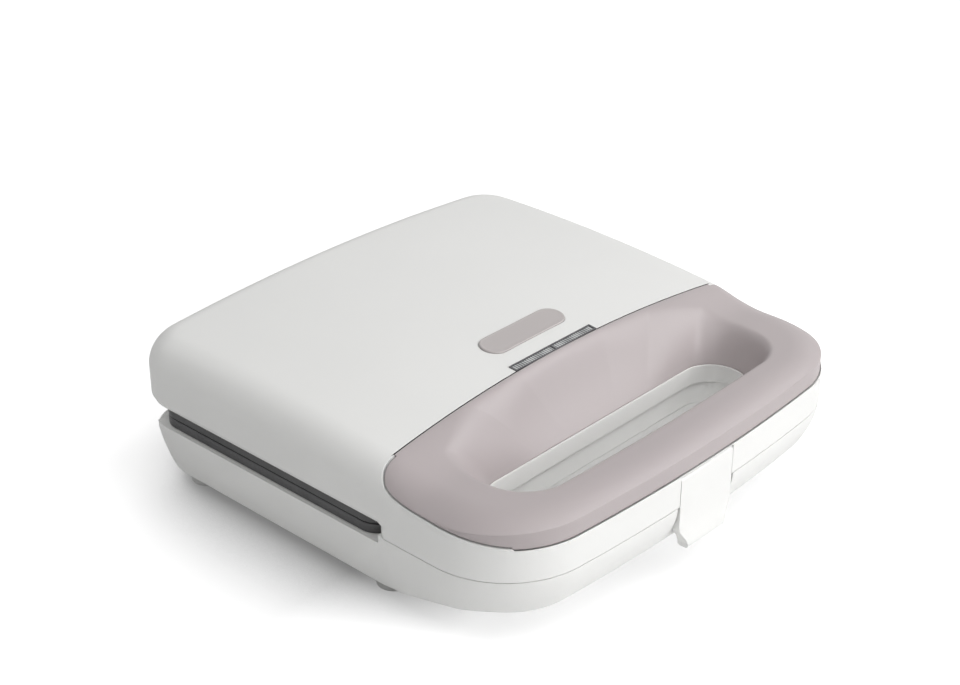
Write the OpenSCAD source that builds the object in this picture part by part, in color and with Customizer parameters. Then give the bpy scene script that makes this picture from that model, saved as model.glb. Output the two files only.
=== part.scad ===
// Sandwich toaster, two slices, with looped handle and latch.
// Millimetres, +Z up, front (handle) faces -Y, hinge at +Y.
// Origin: floor plane, under the middle of the whole object.
// Y below is counted from a datum near the middle of the body, see datum_y.

/* [Body] */
// width of the body
body_width = 225; // [215:1:240]
// from the datum to the front of the handle
front_reach = 123; // [119:1:130]
// from the datum to the rear wall
back_reach = 102; // [98:1:108]
// height where lid and base meet
part_z = 38; // [37:0.5:42]
// height of the crown of the lid
top_z = 77.8; // [76:0.2:84]
// radius of the bowed front edge in plan
bow_r = 920; // [800:10:1200]
// radius of the front corners in plan
front_corner_r = 40; // [34:1:44]
// radius of the rear corners in plan
back_corner_r = 21; // [18:1:25]
// radius of the rolled upper edge of the lid
edge_r = 13; // [9:0.5:14]
// wall thickness of the moulded shells
wall = 2.6; // [2:0.1:3]
// air left between lid and base when shut
shut_gap = 0.3; // [0.2:0.05:0.6]

/* [Handle] */
// length of the finger opening in the trim
opening_length = 154; // [140:1:158]
// depth of the finger opening in the trim
opening_depth = 30.4; // [27:0.2:32]
// height of the lower edge of the trim
trim_z = 52.5; // [51.5:0.5:54]
// skin thickness of the trim
trim_skin = 2.4; // [1.8:0.1:2.8]
// seam between trim and lid
trim_gap = 0.5; // [0.3:0.05:0.8]

/* [Plates] */
// width of each cooking plate
plate_width = 219; // [209:1:219]
// thickness of the rim of a plate
rim_h = 4.3; // [3.8:0.1:4.6]
// leg of one triangular pocket
pocket_leg = 92; // [84:1:94]
// depth of a pocket
pocket_depth = 11; // [8:0.5:12]
// metal thickness of the plate
plate_t = 2.4; // [2:0.1:2.8]
// diameter of the heating tube
tube_d = 6.4; // [5.5:0.1:6.8]

/* [Hinge and latch] */
// diameter of the hinge pins
hinge_pin_d = 4; // [3:0.1:4.6]
// radial play of the hinge pins
pin_play = 0.1; // [0.05:0.01:0.2]
// diameter of a hinge barrel
barrel_d = 9; // [8:0.1:9.6]
// width of the latch
latch_width = 34; // [28:1:40]
// height of the lowest point of the latch
latch_low_z = 16.3; // [16:0.1:16.9]
// diameter of the latch pin
latch_pin_d = 2; // [1.6:0.1:2.4]

/* [Details] */
// length of the badge
badge_length = 48; // [40:1:56]
// width of the badge
badge_width = 13.4; // [10:0.2:15]
// length of one indicator window
window_length = 24.5; // [20:0.5:32]
// depth of one indicator window
window_depth = 3.2; // [2.6:0.1:3.4]
// diameter of the feet
foot_d = 15; // [12:0.5:20]
// height of the feet
foot_h = 5; // [4:0.5:6]
// diameter of the cord entry
gland_bore = 6.4; // [5:0.2:7]

/* [Hidden] */
e = 0.01;
hw = body_width / 2;
ycb = bow_r - front_reach;
s0 = sqrt(pow(bow_r - front_corner_r, 2) - pow(hw - front_corner_r, 2));
cyf = ycb - s0;
yr = back_reach - back_corner_r;
// how far the datum lies behind the origin, latch and cord entry included
datum_y = (front_reach + 1.2 - back_reach - 5) / 2;
lid_z = part_z + shut_gap / 2;
base_z = part_z - shut_gap / 2;
// where the side slot between the plates ends, just behind the handle
slot_y = -48.5;
lid_rim_z = lid_z + rim_h;
base_rim_z = base_z - rim_h;
// rear rim of the base, lower to let the lid swing
rear_rim_y = back_reach - 13;
rear_rim_z = part_z - 9.2;
kx = 4.62;
ky = 4.9;
crown_y = 52;
// underside of the base: flat at the back, rising to the handle
low_z = foot_h;
high_z = foot_h + 12.5;
low_y = -45;
high_y = -front_reach + 28;
// centre line of the finger opening
open_y = -front_reach + 43.2;
// how far the wall of the lid stands inside that of the base, round the opening
lid_tube_in = 1.2;
rim_in_z = trim_z - 5.9;
// rear boundary of the trim in plan
split_y = -42.8;
split_r = 1389;
// hinge axis
hinge_y = back_reach - 4;
hinge_z = part_z;
// latch pin
latch_y = -front_reach + 2.7;
latch_z = trim_z - 3.7;
latch_r = 2.6;
latch_half = latch_width / 2;
// plates
plate_front = slot_y + 1.5;
plate_back = rear_rim_y - 1;
plate_r = 10;
plate_mid = (plate_front + plate_back) / 2;
pocket_gap = 5;
cover_t = 2.2;
cover_in = 14;
foot_x = hw - 21;
post_r = 3;
plate_post_at = [[0, -33], [0, 73], [-hw + 16, -35.5], [hw - 16, -35.5]];
lid_post_z = lid_rim_z + 8;
pocket_x0 = 4.5 + (body_width - 225) * 0.01;
// the pockets keep their share of the plate
pocket_x1 = pocket_x0 + (pocket_leg + 3.5) * plate_width / 219;
pocket_y0 = plate_front + 7.3;
pocket_y1 = plate_back - 7;
lower_floor_z = base_z - pocket_depth - plate_t;
upper_floor_z = lid_z + pocket_depth + plate_t;
tube_y = [-12, 52];
sheet_t = 0.6;
lower_sheet_z = low_z + 8.4;
upper_sheet_z = upper_floor_z + tube_d + 2.6;
lower_rest_at = [[-58, 4], [58, 4], [-58, 40], [58, 40]];
upper_rest_at = [[-58, 4], [58, 4], [-58, 40], [58, 40]];
cover_screw_at = [[-92, -25], [92, -25], [-92, 68], [92, 68]];
bar_screw_at = [[-hw + 30.5, -front_reach + 23], [hw - 30.5, -front_reach + 23]];
foot_y = [-36.5, 80];

white = [0.93, 0.93, 0.92];
pink = [0.80, 0.74, 0.73];
dark = [0.24, 0.24, 0.25];
steel = [0.72, 0.73, 0.75];
lens = [0.62, 0.65, 0.68];

// stations along the side, as shares of its length
side_f = [0, (slot_y - 3 - cyf) / (yr - cyf) * 0.55,
  (slot_y - 3 - cyf) / (yr - cyf), (slot_y - cyf) / (yr - cyf),
  (slot_y + 38 - cyf) / (yr - cyf), (slot_y + 74 - cyf) / (yr - cyf),
  (slot_y + 104 - cyf) / (yr - cyf)];

// right half of the body outline, inset by d, from front centre to back centre
function half_loop(d) =
  let (rc = max(front_corner_r, d + 1), rb = max(back_corner_r, d + 1),
    s = sqrt(pow(bow_r - rc, 2) - pow(hw - rc, 2)), cy = ycb - s,
    phi = atan2(-s, hw - rc), ye = back_reach - rb)
  concat(
    [for (i = [0:7]) let (a = -90 + (phi + 90) * i / 8)
      [(bow_r - d) * cos(a), ycb + (bow_r - d) * sin(a)]],
    [for (i = [0:7]) let (a = phi - phi * i / 8)
      [hw - rc + (rc - d) * cos(a), cy + (rc - d) * sin(a)]],
    [for (f = side_f) [hw - d, cy + f * (ye - cy)]],
    [for (i = [0:5]) let (a = 15 * i)
      [hw - rb + (rb - d) * cos(a), ye + (rb - d) * sin(a)]],
    [for (i = [0:4]) [(hw - rb) * (1 - i / 4), back_reach - d]]);

// closes a right half into a whole loop, mirrored about x = 0
function mirrored(h) = concat(h, [for (i = [len(h) - 2:-1:1]) [-h[i][0], h[i][1]]]);

function outline(d) = mirrored(half_loop(d));

// 0 ahead of the slot, 1 behind it
function behind(y) = min(1, max(0, (y - slot_y + 3) / 3));

// outline whose inset grows from a (front) to b (behind the slot)
function outline2(a, b) = let (p = outline(a), q = outline(b))
  [for (i = [0:len(p) - 1]) p[i] + (q[i] - p[i]) * behind(p[i][1])];

// crown of the lid
function crown(x, y) = top_z - kx * pow(x / 100, 2) - ky * pow((y - crown_y) / 100, 2);

// underside height of the base
function under(y) = low_z + (high_z - low_z) * min(1, max(0, (low_y - y) / (low_y - high_y)));

// inset of the base wall at share v of its height
function base_inset(v) = lookup(v, [[0, 11], [0.04, 8.8], [0.12, 6.8], [0.25, 5],
  [0.42, 3.2], [0.6, 1.6], [0.8, 0.5], [1, 0]]);

// joins rings of equal length into a closed skin, capped from a middle point
module skin(rings, ring_shape = false) {
  n = len(rings[0]);
  m = len(rings);
  first = (rings[0][0] + rings[0][n / 2]) / 2;
  final = (rings[m - 1][0] + rings[m - 1][n / 2]) / 2;
  pts = concat([for (r = rings) each r], [first, final]);
  last = ring_shape ? m - 1 : m - 2;
  sides = [for (k = [0:last]) for (i = [0:n - 1])
    let (a = k * n + i, b = k * n + (i + 1) % n, u = ((k + 1) % m) * n)
    each [[a, u + i, u + (i + 1) % n], [a, u + (i + 1) % n, b]]];
  t = (m - 1) * n;
  caps = ring_shape ? [] : [for (i = [0:n - 1])
    each [[i, (i + 1) % n, m * n], [t + (i + 1) % n, t + i, m * n + 1]]];
  used = ring_shape ? [for (i = [0:m * n - 1]) pts[i]] : pts;
  polyhedron(points = used, faces = concat(sides, caps), convexity = 8);
}

// loop of plan points lifted to one height
function at_z(p, z) = [for (q = p) [q[0], q[1], z]];

// plate-like prism with rounded corners, x +-a, y from y0 to y1
module pad(a, y0, y1, r, z0, z1) {
  translate([0, 0, z0])
    linear_extrude(z1 - z0)
      pad2(a, y0, y1, r);
}

module pad2(a, y0, y1, r) {
  translate([-a + r, y0])
    square([2 * (a - r), y1 - y0]);
  translate([-a, y0 + r])
    square([2 * a, y1 - y0 - 2 * r]);
  for (x = [-a + r, a - r])
    for (y = [y0 + r, y1 - r])
      translate([x, y])
        circle(r, $fn = 48);
}

// box given by its two corners
module block(a, b) {
  translate(a)
    cube(b - a);
}

// cylinder along X
module rod(x0, x1, y, z, r, fn = 48) {
  translate([x0, y, z])
    rotate([0, 90, 0])
      cylinder(r = r, h = x1 - x0, $fn = fn);
}

// profile drawn in Y, Z and pushed along X
module along_x(x0, x1) {
  translate([x0, 0, 0])
    rotate([90, 0, 90])
      linear_extrude(x1 - x0)
        children();
}

// outer form of the lid, before anything is cut from it
module lid_form() {
  a = outline2(0, 3.2);
  b = outline2(0, 1);
  c = outline(0);
  rolled = [for (g = [0, 22, 45, 68, 90])
    [for (q = outline(edge_r * (1 - cos(g))))
      let (t = crown(q[0], q[1]), r = min(edge_r, t - trim_z - 0.4))
      [q[0], q[1], t - r + r * sin(g)]]];
  flat = [for (d = [edge_r + 12, edge_r + 27, edge_r + 44, edge_r + 62, edge_r + 80])
    [for (q = outline(d)) [q[0], q[1], crown(q[0], q[1])]]];
  skin(concat([at_z(a, lid_z)],
    [at_z(a, lid_rim_z - 0.3)],
    [at_z(b, lid_rim_z + 1.6)],
    [at_z(c, lid_rim_z + 4)],
    rolled,
    flat));
}

// loop of a plain rounded rectangle, x +-a, y from y0 to y1
function cook_loop(a, y0, y1, r) = mirrored(concat(
  [for (i = [0:5]) [(a - r) * i / 6, y0]],
  [for (i = [0:4]) let (g = -90 + 18 * i) [a - r + r * cos(g), y0 + r + r * sin(g)]],
  [for (i = [0:5]) [a, y0 + r + (y1 - y0 - 2 * r) * i / 6]],
  [for (i = [0:4]) let (g = 18 * i) [a - r + r * cos(g), y1 - r + r * sin(g)]],
  [for (i = [0:5]) [(a - r) * (1 - i / 5), y1]]));

// hollow of the lid over the cooking plate
module lid_hollow() {
  y0 = split_y + 2;
  function under_crown(p, h) = [for (q = p) [q[0], q[1], crown(q[0], q[1]) - h]];
  skin([
    at_z(cook_loop(plate_width / 2 - 3.2, y0, plate_back - 5, 8), part_z - 1),
    at_z(cook_loop(plate_width / 2 - 3.2, y0, plate_back - 5, 8), lid_rim_z + 2.6),
    at_z(cook_loop(hw - wall - 1, y0, back_reach - wall - 1, 18), lid_rim_z + 5),
    under_crown(cook_loop(hw - wall - 1, y0, back_reach - wall - 1, 18), edge_r),
    under_crown(cook_loop(hw - wall - 3.4, y0, back_reach - wall - 3.4, 16), 6.6),
    under_crown(cook_loop(hw - wall - 8, y0, back_reach - wall - 8, 14), 3),
    under_crown(cook_loop(hw - 34, y0 + 12, back_reach - 34, 12), wall),
    under_crown(cook_loop(hw - 60, y0 + 25, back_reach - 55, 10), wall),
    under_crown(cook_loop(hw - 88, y0 + 40, back_reach - 70, 6), wall)]);
}

// corner of the lid that rises behind the lower rear corner of the trim
side_line = [[-15, 0], [-9.6, 0.5], [-4.8, 1.2], [0.6, 1.9], [4.6, 2.4], [9.1, 3], [16.7, 3.5],
  [24.2, 3.9], [31.3, 4.4], [36.9, 5.2], [40.4, 6.2], [43, 7.5], [44.8, 9.1], [46.3, 11],
  [47.5, 13.2], [48, 15.5]];
module corner_fill(g = 0) {
  y = split_y - 52.2;
  q = [for (p = side_line) [y + p[0] - g * p[1] / 12, trim_z + p[1] + g * (1 - p[1] / 24)]];
  for (x = [-hw - 2, 100])
    along_x(x, x + hw + 2 - 100)
      polygon(concat(q, [[y + 51, q[15][1]], [y + 51, trim_z - 4], [q[0][0], trim_z - 4]]));
}

// room taken by the trim
module trim_zone() {
  difference() {
    translate([0, split_y - split_r, trim_z - 0.3])
      cylinder(r = split_r, h = 40, $fn = 720);
    corner_fill();
  }
}

// opening through the white walls of lid and base
module finger_hole(z0, z1, g = 0) {
  b = opening_depth / 2 + g;
  pad(opening_length / 2 + g, open_y - b, open_y + b, b - 0.1, z0, z1);
}

// smooth part of the lid: skin, hollows, finger opening and latch slot
module lid_body() {
  difference() {
    union() {
      difference() {
        lid_form();
        trim_zone();
        lid_hollow();
        // slot between lid and base at the sides and back
        along_x(-hw - 5, hw + 5)
          union() {
            translate([slot_y + 1.5, lid_z - 3])
              square([200, rim_h + 3]);
            translate([slot_y, lid_z - 3])
              square([3, rim_h + 1.5]);
            translate([slot_y + 1.5, lid_rim_z - 1.5])
              circle(1.5, $fn = 24);
          }
        // channel under the trim
        difference() {
          translate([0, 0, lid_z + wall])
            linear_extrude(30)
              intersection() {
                polygon(outline(wall));
                translate([-hw, -front_reach - 1])
                  square([2 * hw, front_reach + 1 + slot_y - 3]);
              }
          finger_hole(lid_z, rim_in_z - trim_skin - 0.3, wall - lid_tube_in);
          finger_hole(lid_z, rim_in_z - 0.1, -0.25);
          corner_fill();
        }
      }
      // cheeks and back wall of the latch slot
      for (s = [-1, 1])
        translate([s * (latch_half + 2.8) - 2.5, 1 - front_reach, lid_z])
          cube([5, 7, trim_z - 0.6 - lid_z]);
      translate([-latch_half - 5, 6 - front_reach, lid_z])
        cube([2 * latch_half + 10, 2, trim_z - 0.6 - lid_z]);
      // shelf round the indicator windows
      block([-window_length - 3.4, split_y - 0.2, 66], [window_length + 3.4, split_y + 6.5, 71]);
    }
    finger_hole(lid_z - 1, 90, -lid_tube_in);
    // latch slot
    translate([-latch_half - 0.3, -front_reach - 1, lid_z - 1])
      cube([2 * latch_half + 0.6, 7, trim_z + 2 - lid_z]);
  }
}

module lid_shell() {
  color(white)
  difference() {
    union() {
      // the skin is brought to the full width
      resize([body_width, 0, 0])
        lid_body();
      // hinge barrels
      for (s = [-1, 1]) {
        rod(s * 67 - 8.5, s * 67 + 8.5, hinge_y, hinge_z, barrel_d / 2);
        translate([s * 67 - 8.5, hinge_y - 3.6, hinge_z])
          cube([17, back_reach - 0.6 - hinge_y + 3.6, lid_rim_z + 6 - hinge_z]);
      }
      // posts for the screws of the plate
      for (p = plate_post_at)
        translate([p[0], p[1], lid_post_z])
          cylinder(r = post_r, h = crown(p[0], p[1]) - 2 - lid_post_z, $fn = 32);
      // posts that carry the reflector
      for (p = upper_rest_at)
        translate([p[0], p[1], upper_sheet_z + sheet_t])
          cylinder(r = 3, h = crown(p[0], p[1]) - 2 - upper_sheet_z - sheet_t, $fn = 32);
    }
    rod(-latch_half - 4, latch_half + 4, latch_y, latch_z, latch_pin_d / 2, 32);
    // indicator windows
    window_cut(0.15);
    // seat of the lamp holder
    block([-window_length - 2.3, split_y + 1.1, 60], [window_length + 2.3, split_y + 6.7, 66.2]);
    // badge
    badge_at(-1.1)
      badge_form(0.15, 3);
    // room for the ears of the base
    for (s = [-1, 1])
      for (c = [54, 80])
        rod(s * c - 4.4, s * c + 4.4, hinge_y, hinge_z, barrel_d / 2 + 1.4);
    for (s = [-1, 1])
      rod(s * 67 - 10, s * 67 + 10, hinge_y, hinge_z, hinge_pin_d / 2 + pin_play, 64);
    // screws under the handle
    for (p = handle_screw_at)
      translate([p[0], p[1], lid_z - 1]) {
        cylinder(d = 3.2, h = 6, $fn = 24);
        cylinder(d = 6.2, h = 2.4, $fn = 32);
      }
  }
}

handle_screw_at = [[-96, -68], [96, -68], [-40, -front_reach + 12], [40, -front_reach + 12]];

// room for the bezel of the windows
module window_cut(g) {
  rotate_window()
    block([-window_length - 1.1 - g, -2.1 - g, -8], [window_length + 1.1 + g, 2.1 + g, 8]);
}

// frame of the windows: origin on the lid surface, tilted with it
module rotate_window() {
  translate([0, split_y + 1.8, crown(0, split_y + 1.8)])
    rotate([atan(2 * ky * (crown_y - split_y) / 10000), 0, 0])
      children();
}

module badge_at(dz) {
  y = -23.6;
  translate([0, y, crown(0, y) + dz])
    rotate([atan(2 * ky * (crown_y - y) / 10000), 0, 0])
      children();
}

module badge_form(g, h) {
  linear_extrude(h) {
    square([badge_length - badge_width, badge_width + 2 * g], center = true);
    for (s = [-1, 1])
      translate([s * (badge_length - badge_width) / 2, 0])
        circle(badge_width / 2 + g, $fn = 64);
  }
}

module badge() {
  color(pink)
    badge_at(-1)
      badge_form(0, 1.5);
}

module window_bezel() {
  color(dark)
    rotate_window()
      difference() {
        block([-window_length - 1.1, -2.1, -3], [window_length + 1.1, 2.1, 0]);
        for (s = [-1, 1])
          translate([s * (window_length / 2 + 0.3), 0, 0])
            cube([window_length, window_depth, 12], center = true);
      }
}

// ribbed lens, s = side
module lens_form(s) {
  w = window_length - 0.3;
  d = window_depth - 0.3;
  rotate_window()
    translate([s * (window_length / 2 + 0.3), 0, 0]) {
      block([-w / 2, -d / 2, -2.8], [w / 2, d / 2, -0.6]);
      translate([0, d / 2, -e])
        rotate([90, 0, 0])
          linear_extrude(d)
            polygon(concat([[-w / 2, -0.9]],
              [for (i = [0:39]) [-w / 2 + w * (i + 0.5) / 40, i % 2 == 0 ? -0.5 : -0.25]],
              [[w / 2, -0.9]]));
    }
}

module lens_left() {
  color(lens)
    lens_form(-1);
}

module lens_right() {
  color(lens)
    lens_form(1);
}

function opening_half() =
  let (a = opening_length / 2, b = opening_depth / 2, r = b - 0.4)
  concat(
    [for (i = [0:7]) [(a - r) * i / 8, open_y - b]],
    [for (i = [0:6]) let (g = -90 + 90 * i / 7) [a - r + r * cos(g), open_y - b + r + r * sin(g)]],
    [[a, open_y - b + r], [a, open_y]],
    [for (i = [0:6]) let (g = 90 * i / 7) [a - r + r * cos(g), open_y + b - r + r * sin(g)]],
    [for (i = [0:8]) [(a - r) * (1 - i / 8), open_y + b]]);

function split_at(x) = split_y - trim_gap - (split_r - sqrt(split_r * split_r - x * x));

function trim_half(o = 0.8) =
  let (s = s0, phi = atan2(-s, hw - front_corner_r), ye = split_at(hw - o) - 3)
  concat(
    [for (i = [0:7]) let (a = -90 + (phi + 90) * i / 8)
      [(bow_r - o) * cos(a), ycb + (bow_r - o) * sin(a)]],
    [for (i = [0:7]) let (a = phi - phi * i / 8)
      [hw - front_corner_r + (front_corner_r - o) * cos(a), cyf + (front_corner_r - o) * sin(a)]],
    [for (i = [0:4]) [hw - o, cyf + (ye - cyf) * i / 5]],
    [for (i = [0:2]) [hw - o - 3 + 3 * cos(30 * i), ye + 3 * sin(30 * i)]],
    [for (i = [0:8]) let (x = (hw - o - 3) * (1 - i / 8)) [x, split_at(x)]]);

// distance from the body outline
function from_edge(x, y) = y > cyf - 0.01 ? hw - abs(x) :
  abs(x) > hw - front_corner_r && y < cyf && norm([abs(x) - hw + front_corner_r, y - cyf]) > 8 ?
    min(front_corner_r - norm([abs(x) - hw + front_corner_r, y - cyf]), bow_r - norm([x, y - ycb])) :
    bow_r - norm([x, y - ycb]);

function ease(u) = let (t = min(1, max(0, u))) t * t * (3 - 2 * t);

// height of the trim before it dips to the opening
function trim_top(x, y) =
  let (d = max(0.1, from_edge(x, y)), c = crown(x, y), r = min(edge_r, c - trim_z - 1),
    back = d < r ? c - r + sqrt(r * r - pow(r - d, 2)) : c,
    side = ease((y + front_reach - 2) / 40),
    drop = 4.2 + 2.3 * side, reach = 13 + 3 * side,
    front = trim_z + 10.7 - drop * pow(max(0, 1 - d / reach), 2.2),
    k = ease((y - split_y + 30) / 27))
  front + (back - front) * k;

// share of the dip, eased over the part k of its width
function dip(u, k) = u < 0 ? 0 : u < k ? u * u / (k * (2 - k)) : (u - k / 2) / (1 - k / 2);

// width of the dip at loop index i of the right half, and its eased part
function dip_width(i) = lookup(i, [[0, 10], [10, 9.5], [17, 9.5], [19, 11], [21, 15], [24, 23], [26, 29], [28, 34], [32, 34]]);
function dip_ease(i) = lookup(i, [[0, 0.35], [10, 0.45], [17, 0.65], [21, 0.9], [26, 0.9], [28, 0.6], [30, 0.25], [32, 0.2]]);

function trim_ring(t, dz = 0) =
  let (o = trim_half(), q = opening_half(), n = len(o),
    h = [for (i = [0:n - 1])
      let (p = o[i] + (q[i] - o[i]) * t, l = norm(q[i] - o[i]), s = l * (1 - t), w = min(dip_width(i), l),
        z = trim_top(p[0], p[1]))
      [p[0], p[1], z - (z - rim_in_z) * dip(1 - s / w, dip_ease(i)) - dz]])
  concat(h, [for (i = [n - 2:-1:1]) [-h[i][0], h[i][1], h[i][2]]]);

function trim_flat(t, z) = [for (p = trim_ring(t)) [p[0], p[1], z]];

module handle_trim() {
  color(pink)
    difference() {
      union() {
        trim_posts();
        skin(concat(
        [trim_flat(0, trim_z)],
        [for (t = [0, 0.03, 0.08, 0.16, 0.28, 0.4, 0.52, 0.64, 0.74, 0.82, 0.9, 0.96, 1]) trim_ring(t)],
        [for (t = [1, 0.9, 0.82, 0.64, 0.4]) trim_ring(t, trim_skin - (t == 1 ? 0.6 : 0))],
        [for (t = [0.24]) [for (p = trim_ring(t, trim_skin)) [p[0], p[1], max(p[2], trim_z)]]],
        [trim_flat(0.1, trim_z)]), ring_shape = true);
      }
      corner_fill(0.35);
      for (p = handle_screw_at)
        translate([p[0], p[1], lid_z])
          cylinder(r = 1.45, h = 12.6, $fn = 24);
    }
}

// posts of the trim, standing on the floor of the handle
module trim_posts() {
  for (p = handle_screw_at)
    translate([p[0], p[1], lid_z + wall])
      cylinder(r = 3, h = trim_top(p[0], p[1]) - lid_z - wall - 1.2, $fn = 32);
}

// outer form of the base
module base_form() {
  skin([for (v = [0, 0.04, 0.12, 0.25, 0.42, 0.6, 0.8, 1])
    [for (q = outline2(base_inset(v), base_inset(v) + 1))
      [q[0], q[1], under(q[1]) + (base_z - under(q[1])) * v]]]);
}

// hollow of the base up to one level, following its walls
module base_hollow() {
  a = outline(0);
  b = outline(10);
  top = 26.4;
  function ring(u) = [for (i = [0:len(a) - 1])
    let (z = under(a[i][1]) + (top - under(a[i][1])) * u,
      v = (z - under(a[i][1])) / (base_z - under(a[i][1])),
      d = min(cover_in - 0.4, base_inset(v) + wall + 1.2),
      p = a[i] + (b[i] - a[i]) * d / 10)
    [p[0], p[1], z]];
  low = [for (i = [0:len(a) - 1])
    let (p = a[i] + (b[i] - a[i]) * (cover_in - 0.4) / 10)
    [p[0], p[1], under(p[1]) - 1]];
  skin([low, ring(0.05), ring(0.2), ring(0.4), ring(0.7), ring(1)]);
}

// smooth part of the base: skin, hollows, finger opening and slot
module base_body() {
  difference() {
    base_form();
    base_hollow();
    // upper part of the hollow, under the plate
    intersection() {
      translate([0, 0, 26.3])
        linear_extrude(base_rim_z - 2.4 - 26.3)
          polygon(outline(wall + 3));
      block([-hw, slot_y + 2.6, 0], [hw, rear_rim_y - 2.6, 60]);
    }
    // upper part of the hollow, in the handle
    difference() {
      intersection() {
        translate([0, 0, 26.3])
          linear_extrude(base_z - wall - 26.3)
            polygon(outline(wall + 2.4));
        block([-hw, -front_reach - 1, 0], [hw, slot_y - 3, 60]);
      }
      finger_hole(27.7, 60, wall);
    }
    finger_hole(0, 60);
    // opening for the plate
    pad(plate_width / 2 - 6, plate_front + 5, plate_back - 5, 8, 20, 60);
    // slot at the sides and back
    along_x(-hw - 5, hw + 5)
      union() {
        translate([slot_y + 1.5, base_rim_z])
          square([rear_rim_y - slot_y - 1.5, 20]);
        translate([slot_y, base_rim_z + 1.5])
          square([3, 20]);
        translate([slot_y + 1.5, base_rim_z + 1.5])
          circle(1.5, $fn = 24);
      }
    block([-hw - 5, rear_rim_y, rear_rim_z], [hw + 5, back_reach + 10, 60]);
  }
}

module base_shell() {
  color(white)
  difference() {
    union() {
      // the skin is brought to the full width
      resize([body_width, 0, 0])
        base_body();
      // backing of the latch recess
      translate([-latch_half - 5, 4.4 - front_reach, 25.5])
        cube([2 * latch_half + 10, 2.4, base_z - 26.5]);
      // screw posts
      for (p = cover_screw_at) {
        translate([p[0], p[1], low_z + cover_t])
          cylinder(r = 4, h = 20 - low_z - cover_t, $fn = 40);
        translate([p[0] > 0 ? p[0] : -hw + 5.8, p[1] - 1.2, 15])
          cube([hw - 5.8 - abs(p[0]), 2.4, 5]);
      }
      for (p = bar_screw_at)
        translate([p[0], p[1], high_z + cover_t])
          cylinder(r = 3.4, h = base_z - wall / 2 - high_z - cover_t, $fn = 40);
      // hinge ears
      for (s = [-1, 1])
        for (c = [54, 80]) {
          rod(s * c - 4, s * c + 4, hinge_y, hinge_z, barrel_d / 2);
          block([s * c - 4, hinge_y - 4, 22], [s * c + 4, hinge_y + 2.4, hinge_z]);
        }
    }
    for (s = [-1, 1])
      rod(s * 67 - 18, s * 67 + 18, hinge_y, hinge_z, hinge_pin_d / 2 + 0.02, 64);
    // latch recess
    translate([-latch_half - 2.6, -front_reach - 2, -1])
      cube([2 * latch_half + 5.2, 6.4, 60]);
    // cord entry
    square_on_cord(gland_bore / 2 + 2, back_reach - 20, back_reach + 20);
    square_on_cord(gland_bore / 2 + 4.5, back_reach - 3.4, back_reach + 20);
    for (p = cover_screw_at)
      translate([p[0], p[1], 0])
        cylinder(r = 1.45, h = 19.2, $fn = 24);
    for (p = bar_screw_at)
      translate([p[0], p[1], 0])
        cylinder(r = 1.45, h = 33, $fn = 24);
  }
}

gland_x = 30;
gland_z = low_z + 13;

// square block of half side a round the line of the cord
module square_on_cord(a, y0, y1) {
  block([gland_x - a, y0, gland_z - a], [gland_x + a, y1, gland_z + a]);
}

// lower line of the cover, lifted by h, as a profile in Y, Z
module cover_profile(h0, h1) {
  f = -front_reach;
  polygon([[f, high_z + h0], [high_y, high_z + h0], [low_y, low_z + h0], [back_reach, low_z + h0],
    [back_reach, low_z + h1], [low_y, low_z + h1], [high_y, high_z + h1], [f, high_z + h1]]);
}

module bottom_cover() {
  color(white)
    difference() {
      union() {
        intersection() {
          along_x(-hw, hw)
            cover_profile(0, cover_t);
          linear_extrude(60)
            polygon(outline(cover_in));
        }
        intersection() {
          along_x(-hw, hw)
            polygon([[-front_reach, high_z], [high_y, high_z], [low_y, low_z],
              [low_y, 27.4], [-front_reach, 27.4]]);
          finger_hole(0, 60, wall);
        }
        // posts that carry the reflector
        for (p = lower_rest_at)
          translate([p[0], p[1], low_z + 1])
            cylinder(r = 3, h = lower_sheet_z - low_z - 1, $fn = 32);
      }
      finger_hole(0, 60);
      for (x = [-50, -25, 0, 25, 50])
        pad_at(x, 20, 6, 30, low_z - 1, low_z + cover_t + 1);
      for (x = [-foot_x, foot_x])
        for (y = foot_y)
          translate([x, y, 0]) {
            cylinder(r = 3, h = 20, $fn = 32);
            translate([0, 0, low_z + cover_t])
              cylinder(r = 3.9, h = 20, $fn = 32);
          }
      for (p = cover_screw_at)
        translate([p[0], p[1], 0]) {
          cylinder(r = 3.2, h = low_z + 1.1, $fn = 32);
          cylinder(r = 1.6, h = 20, $fn = 24);
        }
      for (p = bar_screw_at)
        translate([p[0], p[1], 0]) {
          cylinder(r = 3.2, h = high_z + 1.1, $fn = 32);
          cylinder(r = 1.6, h = 30, $fn = 24);
        }
    }
}

// one vent slot
module pad_at(x, y, a, b, z0, z1) {
  block([x - a / 2 + 2.2, y - b / 2, z0], [x + a / 2 - 2.2, y + b / 2, z1]);
}

module cover_screws() {
  color(steel) {
    for (p = cover_screw_at)
      translate([p[0], p[1], 0])
        screw_form(low_z + 1.1, 13);
    for (p = bar_screw_at)
      translate([p[0], p[1], 0])
        screw_form(high_z + 1.1, 13);
  }
}

// screw whose head sits under the height z
module screw_form(z, l) {
  difference() {
    union() {
      translate([0, 0, z - 1.1])
        cylinder(r = 2.9, h = 1.1, $fn = 32);
      translate([0, 0, z - 0.1])
        cylinder(r = 1.4, h = l, $fn = 24);
    }
    translate([-2, -0.4, z - 1.2])
      cube([4, 0.8, 0.7]);
    translate([-0.4, -2, z - 1.2])
      cube([0.8, 4, 0.7]);
  }
}

module foot_form(x, y) {
  color(dark)
    translate([x, y, 0]) {
      cylinder(d = foot_d, h = foot_h, $fn = 64);
      cylinder(r = 3, h = foot_h + cover_t + 1, $fn = 32);
      translate([0, 0, foot_h + cover_t])
        cylinder(r = 3.6, h = 1.4, $fn = 32);
    }
}

module foot_front_left() {
  foot_form(-foot_x, foot_y[0]);
}

module foot_front_right() {
  foot_form(foot_x, foot_y[0]);
}

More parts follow.
